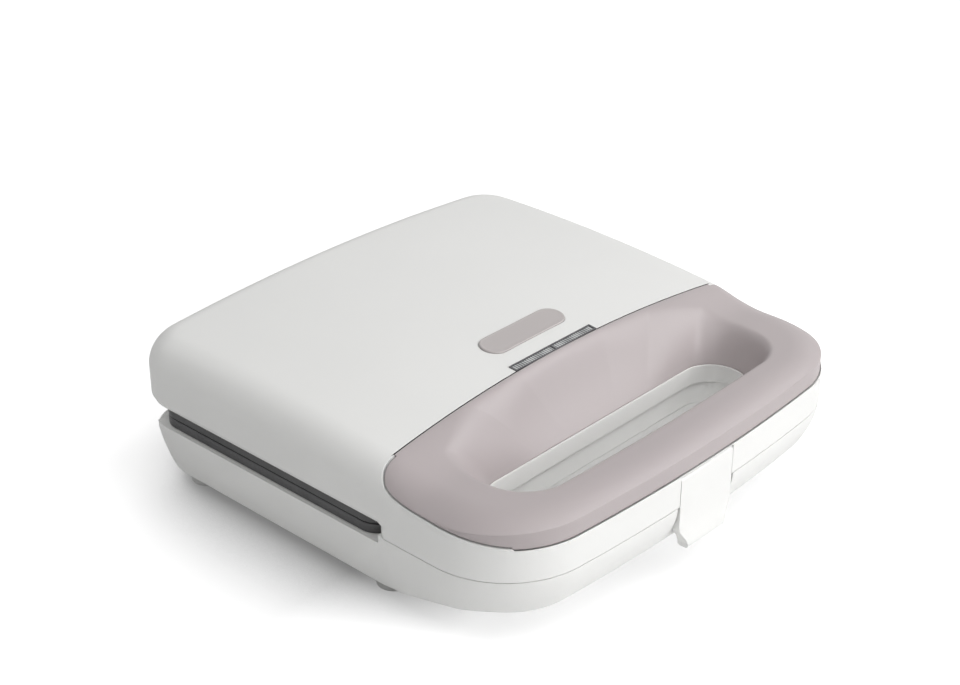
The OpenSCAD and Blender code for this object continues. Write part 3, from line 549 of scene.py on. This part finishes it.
def through(p, n):
    """Smooth curve through points, n steps between each two."""
    q = np.vstack([2 * p[0] - p[1], p, 2 * p[-1] - p[-2]])
    out = []
    for i in range(1, len(q) - 2):
        a, b, c, d = q[i - 1], q[i], q[i + 1], q[i + 2]
        for k in range(n):
            t = k / n
            square = (2 * a - 5 * b + 4 * c - d) * t * t
            cube = (3 * b - a - 3 * c + d) * t ** 3
            out.append(0.5 * (2 * b + (c - a) * t + square + cube))
    return np.array(out + [p[-1]])


def corner_fill(x0, x1, g):
    """White of the lid under the trim's rear corner, grown by g."""
    y = SPLIT_Y - 52.2
    line = through(SIDE_LINE, 6)
    prof = [(y + u - g * v / 12, TRIM_Z + v + g * (1 - v / 24)) for u, v in line]
    prof += [(y + 51, prof[-1][1]), (y + 51, TRIM_Z - 4), (prof[0][0], TRIM_Z - 4)]
    return prism_x(prof, x0, x1)


def corners(g=0):
    return corner_fill(-HW - 2, -CORNER_X, g), corner_fill(CORNER_X, HW + 2, g)


def trim_zone():
    """Room of the trim in the lid."""
    xs = np.linspace(-HW - 6, HW + 6, 141)
    ys = SPLIT_Y - (SPLIT_R - np.sqrt(SPLIT_R ** 2 - xs ** 2))
    plan = [(x, y) for x, y in zip(xs[::-1], ys[::-1])]
    plan += [(-HW - 6, -FRONT - 6), (HW + 6, -FRONT - 6)]
    return cut(prism(plan, TRIM_Z - 0.3, 95), *corners())


def finger_hole(z0, z1, g=0.0):
    b = OPEN_D / 2 + g
    return prism(round_rect(OPEN_L / 2 + g, OPEN_Y - b, OPEN_Y + b, b - 0.1, 40), z0, z1)


# ---------------------------------------------------------------- lid
def lid_form():
    slot_o, step_o, full_o = outline2(0, 3.2), outline2(0, 1), outline(0)
    rings = [lift(slot_o, LID_Z), lift(slot_o, LID_RIM - 0.3)]
    # the wall steps out over the slot in two curves
    curves = ((slot_o, step_o, LID_RIM - 0.3, 1.9), (step_o, full_o, LID_RIM + 1.6, 2.4))
    for p, q, z, rise in curves:
        for t in (0.25, 0.5, 0.75, 1.0):
            rings.append(lift(p + (q - p) * math.sin(t * math.pi / 2), z + rise * t))
    rings.append(lift(full_o, LID_RIM + 5.5))
    # rolled edge
    for k in range(25):
        g = math.pi / 2 * k / 24
        p = outline(EDGE_R * (1 - math.cos(g)))
        t = crown(p[:, 0], p[:, 1])
        r = np.minimum(EDGE_R, t - TRIM_Z - 0.4)
        rings.append(lift(p, t - r + r * math.sin(g)))
    # top
    for d in (1, 2.5, 4.5, 7, 10, 14, 19, 25, 32, 40, 48, 56, 64, 72, 80):
        p = outline(EDGE_R + d)
        rings.append(lift(p, crown(p[:, 0], p[:, 1])))
    p = outline(EDGE_R + 80)
    mid = np.array([0, (p[0, 1] + p[len(p) // 2, 1]) / 2])
    for f in (0.8, 0.6, 0.4, 0.2):
        q = mid + (p - mid) * f
        rings.append(lift(q, crown(q[:, 0], q[:, 1])))
    ends = [np.array([0, mid[1], z]) for z in (LID_Z, crown(0, mid[1]))]
    return skin("lid_skin", rings, *ends)


def lid_channel():
    """Hollow of the handle's upper half, round the opening."""
    inner = outline(WALL, n=(30, 24, 30, 8, 8))
    plan = ahead_of(inner[inner[:, 0] != 0], SLOT_Y - 3, SLOT_Y)
    plan = np.vstack([plan, (HW - WALL, SLOT_Y - 3), (-HW + WALL, SLOT_Y - 3)])
    wall = finger_hole(LID_Z, RIM_IN - TRIM_SKIN - 0.3, WALL - TUBE_IN)
    lip = finger_hole(LID_Z, RIM_IN - 0.1, -0.25)
    return cut(prism(plan, LID_Z + WALL, 80), wall, lip, *corners())


def build_lid():
    ob = lid_form()
    slot = [(SLOT_Y, LID_Z - 3)] + slot_corner(LID_RIM - SLOT_R, 180)
    slot += [(SLOT_Y + 200, LID_RIM), (SLOT_Y + 200, LID_Z - 3)]
    channel = lid_channel()
    well = prism(round_rect(*WELL), LID_Z - 3, 60)
    cut(ob, trim_zone(), prism_x(slot, -HW - 5, HW + 5), channel, well)
    # walls round the latch
    x, y0, y1, top = LATCH_HALF, 1 - FRONT, 8 - FRONT, TRIM_Z - 0.6
    join(ob, box((-x - 5.3, y0, LID_Z), (-x - 0.3, y1, top)),
         box((x + 0.3, y0, LID_Z), (x + 5.3, y1, top)),
         box((-x - 5, 6 - FRONT, LID_Z), (x + 5, y1, top)))
    # groove under the trim's edge
    ledge = ahead_of(outline(0.4, n=(60, 40, 60, 4, 4)), SPLIT_Y - 8, -50)
    cut(ob, cut(prism(ledge, TRIM_Z - 1.1, TRIM_Z + 0.2), *corners()))
    for s in (-1, 1):
        x0, x1 = s * HINGE_X - 8.5, s * HINGE_X + 8.5
        join(ob, prism_x(disc(HINGE_Y, HINGE_Z, HINGE_R), x0, x1),
             box((x0, HINGE_Y - 3.6, HINGE_Z), (x1, BACK - 0.6, LID_RIM + 6)))
    wx, wy = WINDOW_HALF
    window = np.array([(-wx, -wy), (wx, -wy), (wx, wy), (-wx, wy)])
    cuts = [finger_hole(LID_Z - 1, 90, -TUBE_IN),
            box((-x - 0.3, -FRONT - 1, LID_Z - 1), (x + 0.3, 6 - FRONT, LATCH_Z + 3.1)),
            prism_on_crown(window, -8, 8, SPLIT_Y + 1.8),
            prism_on_crown(pill_plan(BADGE_L, BADGE_W, 0.18), -1.1, 3, BADGE_Y)]
    # room for the ears of the base and for the pins
    for s in (-1, 1):
        for c in EARS_X:
            cuts.append(prism_x(disc(HINGE_Y, HINGE_Z, 5.9), s * c - 4.4, s * c + 4.4))
        cuts.append(prism_x(disc(HINGE_Y, HINGE_Z, 2.1), s * HINGE_X - 10, s * HINGE_X + 10))
    cut(ob, *cuts)
    tidy(ob)
    shade(ob)
    piece(ob, "lid", WHITE, "white_plastic", "lid_shell")

    # the lid's faces in the seam behind the trim get the painted shade
    def gets_seam_shade(x, y, z, n):
        return n.y < -0.5 and z > TRIM_Z + 6 and abs(y - split_at(x) - TRIM_GAP) < 0.12
    paint_seam_shade(ob, gets_seam_shade)


# ---------------------------------------------------------------- base
# inset of the base's side at shares of its height
SIDE_SHARE = [0, 0.04, 0.12, 0.25, 0.42, 0.6, 0.8, 1.0]
SIDE_INSET = [11, 8.8, 6.8, 5, 3.2, 1.6, 0.5, 0]


def base_inset(v):
    """Smooth curve through the knots of the base's side, without overshoot."""
    n = len(SIDE_SHARE) - 1
    h = [SIDE_SHARE[i + 1] - SIDE_SHARE[i] for i in range(n)]
    m = [(SIDE_INSET[i + 1] - SIDE_INSET[i]) / h[i] for i in range(n)]
    t = [m[0]]
    for p, q in zip(m, m[1:]):
        t.append(2 * p * q / (p + q) if p * q > 0 else 0)
    t.append(0)
    i = next(i for i in range(n) if v <= SIDE_SHARE[i + 1])
    u = (v - SIDE_SHARE[i]) / h[i]
    a = (1 + 2 * u) * (1 - u) ** 2
    b = u * (1 - u) ** 2
    c = u * u * (3 - 2 * u)
    d = u * u * (u - 1)
    return a * SIDE_INSET[i] + b * h[i] * t[i] + c * SIDE_INSET[i + 1] + d * h[i] * t[i + 1]


def under(y):
    """Height of the underside: flat at the back, rising to the handle."""
    def ramp(q):
        return 5 + 12.5 * np.clip((-45 - q) / 50, 0, 1)
    return sum(ramp(y + k) for k in (-5, -2.5, 0, 2.5, 5)) / 5


def base_form():
    rings = []
    for v in (0, 0.01, 0.02, 0.04, 0.07, 0.1, 0.14, 0.19, 0.25, 0.32,
              0.4, 0.48, 0.56, 0.64, 0.72, 0.8, 0.87, 0.94, 1):
        d = base_inset(v)
        p = outline2(d, d + 1)
        z = under(p[:, 1])
        rings.append(lift(p, z + (BASE_Z - z) * v))
    return skin("base_skin", rings)


def build_base():
    ob = base_form()
    slot = [(REAR_Y, BASE_RIM + 25), (REAR_Y, BASE_RIM)]
    slot += slot_corner(BASE_RIM + SLOT_R, 270) + [(SLOT_Y, BASE_RIM + 25)]
    hollow = prism(outline(13.6, n=(20, 16, 12, 10, 8)), -3, 27.55)
    well = prism(round_rect(*WELL), 20, 60)
    rear = box((-HW - 5, REAR_Y - 1e-3, REAR_Z), (HW + 5, BACK + 10, 60))
    cut(ob, prism_x(slot, -HW - 5, HW + 5), rear, hollow, well)
    for s in (-1, 1):
        for c in EARS_X:
            x0, x1 = s * c - 4, s * c + 4
            join(ob, prism_x(disc(HINGE_Y, HINGE_Z, HINGE_R), x0, x1),
                 box((x0, HINGE_Y - 4, 22), (x1, HINGE_Y + 2.4, HINGE_Z)))
    x = LATCH_HALF + 1.4
    cuts = [finger_hole(0, 60), box((-x, -FRONT - 2, -1), (x, -FRONT + 4.4, 59))]
    for s in (-1, 1):
        cuts.append(prism_x(disc(HINGE_Y, HINGE_Z, 2.02), s * HINGE_X - 18, s * HINGE_X + 18))
    cut(ob, *cuts)
    # square hole and recess of the cord entry
    for r, y0 in ((5.2, BACK - 20), (7.7, BACK - 3.4)):
        cut(ob, box((GLAND_X - r, y0, GLAND_Z - r), (GLAND_X + r, BACK + 20, GLAND_Z + r)))
    # wall behind the latch
    x = LATCH_HALF + 5
    join(ob, box((-x, 4.4 - FRONT, 25.5), (x, 6.8 - FRONT, BASE_Z - 1)))
    tidy(ob)
    shade(ob)
    piece(ob, "base", WHITE, "white_plastic", "base_shell")


# ---------------------------------------------------------------- trim
# widths of the slope into the opening and how softly it starts, by place on the loop:
# 0 is the middle of the front, 16 the side, 32 the middle of the back
SLOPE_AT = ([0, 10, 17, 19, 21, 24, 26, 28, 32], [10, 9.5, 9.5, 11, 15, 23, 29, 34, 34])
EASE_AT = ([0, 10, 17, 21, 26, 28, 30, 32], [0.35, 0.45, 0.65, 0.9, 0.9, 0.6, 0.25, 0.2])


def trim_edge(u):
    """Point on the right half of the trim's outer edge."""
    phi = math.atan2(FRONT_R_Y - BOW_Y, HW - FRONT_R)
    ye = float(split_at(np.float64(HW - TRIM_IN))) - 3
    if u < 8:
        t = -math.pi / 2 + (phi + math.pi / 2) * u / 8
        return (BOW_R - TRIM_IN) * math.cos(t), BOW_Y + (BOW_R - TRIM_IN) * math.sin(t)
    if u < 16:
        t, r = phi - phi * (u - 8) / 8, FRONT_R - TRIM_IN
        return HW - FRONT_R + r * math.cos(t), FRONT_R_Y + r * math.sin(t)
    if u < 21:
        return HW - TRIM_IN, FRONT_R_Y + (ye - FRONT_R_Y) * (u - 16) / 5
    if u < 24:
        t = math.radians(30 * (u - 21))
        return HW - TRIM_IN - 3 + 3 * math.cos(t), ye + 3 * math.sin(t)
    x = (HW - TRIM_IN - 3) * (1 - (u - 24) / 8)
    return x, float(split_at(np.float64(x)))


def trim_hole(u):
    """Point on the right half of the trim's inner edge."""
    a, b, r = OPEN_L / 2, OPEN_D / 2, OPEN_D / 2 - 0.4
    if u < 8:
        return (a - r) * u / 8, OPEN_Y - b
    if u < 15:
        t = math.radians(-90 + 90 * (u - 8) / 7)
        return a - r + r * math.cos(t), OPEN_Y - b + r + r * math.sin(t)
    if u < 17:
        y0, y1 = OPEN_Y - b + r, OPEN_Y + b - r
        return a, y0 + (y1 - y0) * (u - 15) / 2
    if u < 24:
        t = math.radians(90 * (u - 17) / 7)
        return a - r + r * math.cos(t), OPEN_Y + b - r + r * math.sin(t)
    return (a - r) * (1 - (u - 24) / 8), OPEN_Y + b


def from_edge(x, y):
    """Distance from the body's outline."""
    x = np.abs(x)
    bow = BOW_R - np.hypot(x, y - BOW_Y)
    far = np.hypot(x - HW + FRONT_R, y - FRONT_R_Y)
    in_corner = (x > HW - FRONT_R) & (y < FRONT_R_Y) & (far > 8)
    d = np.where(in_corner, np.minimum(FRONT_R - far, bow), bow)
    return np.where(y > FRONT_R_Y - 0.01, HW - x, d)


def trim_top(x, y):
    """Height of the trim before the slope into the opening."""
    d = np.maximum(0.1, from_edge(x, y))
    c = crown(x, y)
    r = np.minimum(EDGE_R, c - TRIM_Z - 1)
    back = np.where(d < r, c - r + np.sqrt(np.maximum(0, r * r - (r - d) ** 2)), c)
    side = smooth((y + FRONT - 2) / 40)
    dropped, reach = 4.2 + 2.3 * side, 13 + 3 * side
    front = TRIM_Z + 10.7 - dropped * np.maximum(0, 1 - d / reach) ** 2.2
    return front + (back - front) * smooth((y - SPLIT_Y + 30) / 27)


def dip(u, k):
    """Share of the slope's depth: a curve up to k, then straight."""
    curve, line = u * u / (k * (2 - k)), (u - k / 2) / (1 - k / 2)
    return np.where(u < 0, 0, np.where(u < k, curve, line))


def blurred(w, pad):
    """Values on a mirrored half loop, evened out over pad points to each side."""
    ker = np.hanning(2 * pad + 1)
    ker /= ker.sum()
    return np.convolve(np.concatenate([w[pad:0:-1], w, w[-2:-pad - 2:-1]]), ker, "valid")


def build_trim():
    us = np.arange(32 * 16 + 1) / 16
    o = np.array([trim_edge(u) for u in us])
    q = np.array([trim_hole(u) for u in us])
    ease = np.interp(us, *EASE_AT)
    full = np.hypot(*(q - o).T)
    width = np.minimum(blurred(np.interp(us, *SLOPE_AT), 24), full)

    def ring(t, dz=0.0, floor=-1e9):
        p = o + (q - o) * t
        z = trim_top(p[:, 0], p[:, 1])
        z = z - (z - RIM_IN) * dip(1 - full * (1 - t) / width, ease) - dz
        return whole(np.column_stack([p, np.maximum(z, floor)]))

    def flat(t, z):
        r = ring(t)
        r[:, 2] = z
        return r

    ts = np.concatenate([[0, 0.004, 0.01, 0.02, 0.035], np.linspace(0.05, 0.95, 46),
                         [0.965, 0.98, 0.99, 0.996, 1]])
    rings = [flat(0, TRIM_Z), flat(0, TRIM_Z + 2)] + [ring(t) for t in ts]
    # underside
    for t in (1, 0.97, 0.93, 0.88, 0.82, 0.73, 0.64, 0.52, 0.4):
        rings.append(ring(t, TRIM_SKIN - (0.6 if t == 1 else 0)))
    rings += [ring(0.24, TRIM_SKIN, TRIM_Z), flat(0.1, TRIM_Z)]
    faces = ring_faces(len(rings[0]), len(rings), closed=True)
    ob = make("trim_skin", np.vstack(rings), faces)
    cut(ob, *corners(0.85))
    tidy(ob, 0.002)
    shade(ob, 30)
    piece(ob, "lid", PINK, "pink_plastic", "handle_trim")

    # the trim's faces in its gaps, at the corners, underneath and behind, get the painted shade
    def gets_seam_shade(x, y, z, n):
        corner = x > 99.9 and n.z < -0.2
        below = z < TRIM_Z + 0.1 and n.z < -0.5
        behind = n.y > 0.5 and abs(y - split_at(x)) < 0.1
        return corner or below or behind
    paint_seam_shade(ob, gets_seam_shade)


# ---------------------------------------------------------------- latch
def build_latch():
    f, k, w, r = -FRONT + 0.1, LATCH_LOW, LATCH_HALF, LATCH_R
    # side view: front face down to the hook, and up again behind
    prof = [(f, 28.5), (f - 0.12, 26.3), (f - 0.4, 24), (f - 0.85, 21.8), (f - 1.25, 19.6),
            (f - 1.3, 18), (f - 1.1, k + 0.7), (f - 0.5, k), (f + 3.2, k), (f + 4, k + 0.8),
            (f + 4, 19.2), (f + 3.5, 21.5), (f + 3.5, LATCH_Z - 3), (f + 5.2, LATCH_Z - 1.6),
            (f + 5.2, LATCH_Z)]
    # crown round the pin, squarer at the front
    for i in range(1, 25):
        t = math.pi * i / 24
        power = 0.62 if i > 12 else 1.0
        c, s = math.cos(t), math.sin(t)
        prof.append((LATCH_Y + r * math.copysign(abs(c) ** power, c),
                     LATCH_Z + r * max(0, s) ** power))
    ob = prism_x(prof, -w - 1, w + 1, "latch_tab")
    # front view: straight sides, drawn in towards the hook and on past its end
    side = [(-w, 60), (-w, 28), (-w + 0.35, 26.2), (-w + 1.6, 24), (-w + 3.4, 21.4),
            (-w + 4.9, 18.4), (-w + 5.6, -0.38)]
    side = side + [(-x, z) for x, z in side[::-1]]
    boolean(ob, "INTERSECT", prism_y(side, -FRONT - 8, -FRONT + 20))
    cut(ob, prism_x(disc(LATCH_Y, LATCH_Z, 1.05, 32), -w - 2, w + 2))
    tidy(ob)
    shade(ob, 24)
    piece(ob, "latch", WHITE, "white_plastic", "latch_clip")


# ---------------------------------------------------------------- plates
def pocket_plan(s, k):
    """Centres of the rounded triangle of pocket k on side s, before rounding."""
    x0, x1 = 4.5, 100.0
    y0, y1 = PLATE_Y0 + 7.3, PLATE_Y1 - 7
    r, g, h = POCKET_R, 7.5 + 2.6 * POCKET_R, 9.5 + 2.6 * POCKET_R
    if k == 0:
        c = [(x0 + r, y0 + r), (x1 - g, y0 + r), (x0 + r, y1 - h)]
    else:
        c = [(x1 - r, y1 - r), (x0 + g, y1 - r), (x1 - r, y0 + h)]
    return np.array([(s * x, y) for x, y in c])


def inside_by(x, y, c, r):
    """Distance inside a triangle c rounded by r, positive inside."""
    (ax, ay), (bx, by), (cx, cy) = c
    turn = 1 if (bx - ax) * (cy - ay) > (by - ay) * (cx - ax) else -1
    inside = np.full(x.shape, 1e9)
    dist = np.full(x.shape, 1e9)
    for a, b in zip(c, np.roll(c, -1, axis=0)):
        e = b - a
        l = np.hypot(*e)
        inside = np.minimum(inside, turn * (e[0] * (y - a[1]) - e[1] * (x - a[0])) / l)
        t = np.clip(((x - a[0]) * e[0] + (y - a[1]) * e[1]) / l ** 2, 0, 1)
        dist = np.minimum(dist, np.hypot(x - a[0] - t * e[0], y - a[1] - t * e[1]))
    return np.where(inside > 0, inside, -dist) + r


def pocket_depth(x, y):
    z = np.zeros(x.shape)
    for s in (-1, 1):
        for k in (0, 1):
            d = inside_by(x, y, pocket_plan(s, k), POCKET_R)
            bowl = 1 - (1 - np.clip(d / 15, 0, 1)) ** 2.1
            lip = smooth(np.clip(d / 3.0, 0, 1) * 0.5 + 0.5 * np.clip(d / 9.0, 0, 1))
            z = np.maximum(z, np.where(d > 0, POCKET_DEPTH * bowl * lip, 0))
    return z


def plate_loop(d):
    """Edge of the plate in plan, inset by d, with points along its sides too."""
    x, y0, y1, r = PLATE_HW - PLATE_R, PLATE_Y0 + PLATE_R, PLATE_Y1 - PLATE_R, PLATE_R - d
    at = np.array([(-x, y0), (x, y0), (x, y1), (-x, y1)])
    out = np.array([(0, -1), (1, 0), (0, 1), (-1, 0)])
    pts = []
    for k, n in enumerate((44, 28, 44, 28)):
        a, b = at[k], at[(k + 1) % 4]
        pts += [a + (b - a) * i / n + out[k] * r for i in range(n)]
        for i in range(12):
            t = math.radians(90 * (k - 1) + 90 * i / 12)
            pts.append(b + (r * math.cos(t), r * math.sin(t)))
    return np.array(pts)


def zipper(pts, a, b):
    """Triangles of the band between two closed loops that start and turn alike."""
    out, i, j, n, m = [], 0, 0, len(a), len(b)
    while i < n or j < m:
        p, q = a[i % n], b[j % m]
        next_p, next_q = a[(i + 1) % n], b[(j + 1) % m]
        to_p = np.linalg.norm(pts[next_p] - pts[q]) if i < n else 1e9
        to_q = np.linalg.norm(pts[next_q] - pts[p]) if j < m else 1e9
        if to_p < to_q:
            out.append((p, q, next_p))
            i += 1
        else:
            out.append((p, q, next_q))
            j += 1
    return out


def grid_faces(nx, ny, start):
    """Quads of a grid, and the points round its edge."""
    corner = [start + j * nx + i for j in range(ny - 1) for i in range(nx - 1)]
    faces = [(a, a + 1, a + nx + 1, a + nx) for a in corner]
    edge = list(range(nx)) + [j * nx + nx - 1 for j in range(1, ny)]
    edge += [(ny - 1) * nx + i for i in range(nx - 2, -1, -1)]
    edge += [j * nx for j in range(ny - 2, 0, -1)]
    return faces, [start + e for e in edge]


def build_plate(name, up, body, node):
    """Cast plate as a height field with a rolled rim; up = 1 for the lower one."""
    face = BASE_Z if up > 0 else LID_Z
    rim = BASE_RIM if up > 0 else LID_RIM
    y0, y1 = PLATE_Y0 + 5.5, PLATE_Y1 - 5.5
    gx, gy = np.meshgrid(np.linspace(-104, 104, 209), np.linspace(y0, y1, int(y1 - y0) + 1))
    ny, nx = gx.shape
    depth = pocket_depth(gx, gy)
    # the back is a shallow dish that follows the pockets
    top, back = (np.column_stack([gx.ravel(), gy.ravel(), z.ravel()]) for z in
                 (face - up * depth, rim - up * np.maximum(0, depth + PLATE_T - RIM_H)))
    rings = [lift(plate_loop(d), face + up * dz) for d, dz in
             ((3.0, 0), (1.0, 0), (0.62, -0.04), (0.3, -0.18), (0.08, -0.42), (0, -0.8))]
    rings += [lift(plate_loop(d), rim + up * dz) for d, dz in
              ((0, 0.8), (0.08, 0.42), (0.3, 0.18), (0.7, 0))]
    pts = np.vstack([top, *rings, back])
    n, m = len(rings[0]), len(rings)
    first, last = nx * ny, nx * ny + (m - 1) * n
    top_faces, top_edge = grid_faces(nx, ny, 0)
    back_faces, back_edge = grid_faces(nx, ny, nx * ny + m * n)
    faces = top_faces + ring_faces(n, m, first) + back_faces
    faces += zipper(pts, top_edge, list(range(first, first + n)))
    faces += zipper(pts, back_edge, list(range(last, last + n)))
    ob = make(name, pts, faces)
    shade(ob, 40)
    piece(ob, body, CAST, "plate_metal", node)


# ---------------------------------------------------------------- badge
# growth in plan and height, from the seat over the rolled edge to the bare face
BADGE_RINGS = (
    (0.0, -1.0), (0.0, 0.1), (-0.06, 0.28), (-0.2, 0.42), (-0.42, 0.49), (-0.9, 0.5),
    (-1.0, 0.47), (-1.12, 0.42), (-1.3, 0.4), (-2.5, 0.42), (-4.0, 0.45), (-5.5, 0.47),
)


def build_badge():
    rings = [on_crown(lift(pill_plan(BADGE_L, BADGE_W, g), z), BADGE_Y) for g, z in BADGE_RINGS]
    ob = skin("badge_plate", rings)
    shade(ob, 40)
    piece(ob, "lid", PILL, "pink_plastic", "badge")


build_lid()
build_base()
build_trim()
build_latch()
build_plate("plate_lower", 1, "base", "lower_plate")
build_plate("plate_upper", -1, "lid", "upper_plate")
build_badge()

# ---------------------------------------------------------------- CAD nodes that stay
LOOKS = (
    (WHITE, ("cord_gland",)),
    (COVER, ("bottom_cover",)),
    (RUBBER, ("foot_front_left", "foot_front_right", "foot_rear_left", "foot_rear_right")),
    (FRAME, ("window_bezel",)),
    (BOARD, ("lamp_holder",)),
    (PORCELAIN, ("terminal_block",)),
    (SHEET, ("lower_reflector", "upper_reflector")),
    (TUBE, ("lower_element", "upper_element")),
    (STEEL, ("lower_clamps", "upper_clamps", "thermostat", "thermal_fuse", "cover_screws",
             "handle_screws", "hinge_pin_left", "hinge_pin_right", "latch_pin")),
    (FOIL, ("rating_label",)),
    (SLEEVE, ("base_wiring", "lid_wiring")),
    (LENS, ("lens_left", "lens_right")),
    (LAMP, ("lamp_left", "lamp_right")),
)
for mat, names in LOOKS:
    for name in names:
        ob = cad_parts[name]
        if not ob.material_slots:
            ob.data.materials.append(mat)
        for slot in ob.material_slots:
            slot.material = mat

# ---------------------------------------------------------------- floor and world
# to the camera the floor is nearly white, with a shadow painted from ambient occlusion where the
# object stands over it
FLOOR_WHITE = 0.85
FLOOR_SHADOW_PAINT = 0.15
FLOOR_SHARE = 0.40


def build_floor():
    mat, nt, b = shader("floor", (0.92, 0.92, 0.92), 0.9)
    bpy.ops.mesh.primitive_plane_add(size=12, location=(0, 0, 0))
    floor = bpy.context.object
    floor.name = "floor"
    floor.data.materials.append(mat)
    occ = nt.nodes.new("ShaderNodeAmbientOcclusion")
    occ.samples = 16
    occ.inputs["Distance"].default_value = 0.12
    place = nt.nodes.new("ShaderNodeNewGeometry").outputs["Position"]
    axes = nt.nodes.new("ShaderNodeSeparateXYZ")
    nt.links.new(place, axes.inputs["Vector"])
    far = nt.nodes.new("ShaderNodeVectorMath")
    far.operation = "LENGTH"
    nt.links.new(place, far.inputs[0])
    # painted shadow, lighter ahead of the object, and white far from it
    painted_shadow = span(nt, occ.outputs["AO"], 0.35, 0.85, FLOOR_SHADOW_PAINT, FLOOR_WHITE)
    ahead = span(nt, axes.outputs["Y"], -0.01, -0.07, 0, 0.5)
    away = span(nt, far.outputs["Value"], 0.5, 1.3, 0, 0.4)
    emit = nt.nodes.new("ShaderNodeEmission")
    nt.links.new(calc(nt, "ADD", calc(nt, "ADD", painted_shadow, ahead), away), emit.inputs["Strength"])
    soft = nt.nodes.new("ShaderNodeBsdfDiffuse")
    soft.inputs["Color"].default_value = (FLOOR_SHARE, FLOOR_SHARE, FLOOR_SHARE, 1)
    both = nt.nodes.new("ShaderNodeAddShader")
    nt.links.new(soft.outputs["BSDF"], both.inputs[0])
    nt.links.new(emit.outputs["Emission"], both.inputs[1])
    mix = nt.nodes.new("ShaderNodeMixShader")
    rays = nt.nodes.new("ShaderNodeLightPath")
    nt.links.new(rays.outputs["Is Camera Ray"], mix.inputs["Fac"])
    nt.links.new(b.outputs["BSDF"], mix.inputs[1])
    nt.links.new(both.outputs["Shader"], mix.inputs[2])
    nt.links.new(mix.outputs["Shader"], nt.nodes["Material Output"].inputs["Surface"])


def build_world():
    """A dim white sky that is full white to the camera, in metal and in glass."""
    world = bpy.data.worlds.new("world")
    bpy.context.scene.world = world
    world.use_nodes = True
    nt = world.node_tree
    dim, white = nt.nodes["Background"], nt.nodes.new("ShaderNodeBackground")
    for bg, strength in ((dim, 0.14), (white, 1.0)):
        bg.inputs["Color"].default_value = (1, 1, 1, 1)
        bg.inputs["Strength"].default_value = strength
    rays = nt.nodes.new("ShaderNodeLightPath").outputs
    seen = calc(nt, "MAXIMUM", rays["Is Camera Ray"], rays["Is Transmission Ray"])
    seen = calc(nt, "MAXIMUM", seen, rays["Is Glossy Ray"])
    mix = nt.nodes.new("ShaderNodeMixShader")
    nt.links.new(seen, mix.inputs["Fac"])
    nt.links.new(dim.outputs["Background"], mix.inputs[1])
    nt.links.new(white.outputs["Background"], mix.inputs[2])
    nt.links.new(mix.outputs["Shader"], nt.nodes["World Output"].inputs["Surface"])


build_floor()
build_world()


# ---------------------------------------------------------------- lamps and camera
def lamp(name, az, el, dist, size, power):
    """Round soft lamp aimed at the object; az is counted from the front to the right."""
    aim = np.array((0, 0, 0.04))
    a, e = math.radians(az), math.radians(el)
    d = bpy.data.lights.new(name, "AREA")
    d.shape = "DISK"
    d.size = size
    d.energy = power
    o = bpy.data.objects.new(name, d)
    flat = dist * math.sin(a) * math.cos(e), -dist * math.cos(a) * math.cos(e)
    o.location = aim + (*flat, dist * math.sin(e))
    v = aim - np.array(o.location)
    tilt = math.acos(-v[2] / np.linalg.norm(v))
    o.rotation_euler = (tilt, 0, math.atan2(v[0], -v[1]) + math.pi)
    bpy.context.scene.collection.objects.link(o)


lamp("key", 62, 42, 2.2, 1.1, 8)
lamp("high", 15, 60, 2.4, 1.2, 15.5)
lamp("side", 35, 30, 2.4, 1.0, 13)
lamp("front", 8, 22, 2.4, 1.0, 15)
lamp("left", -60, 50, 2.4, 1.2, 12)
lamp("back", 195, 35, 2.6, 1.2, 7)

# the photograph's view
cam = bpy.data.cameras.new("camera")
cam.sensor_width = 36
cam.sensor_fit = "HORIZONTAL"
cam.lens = 71.25
cam.clip_start = 0.01
co = bpy.data.objects.new("camera", cam)
co.location = (-0.5348, -0.4854, 0.4509)
co.rotation_euler = (math.radians(61.81), 0, math.radians(-47.22))
bpy.context.scene.collection.objects.link(co)
bpy.context.scene.camera = co
bpy.context.scene.view_settings.view_transform = "Standard"
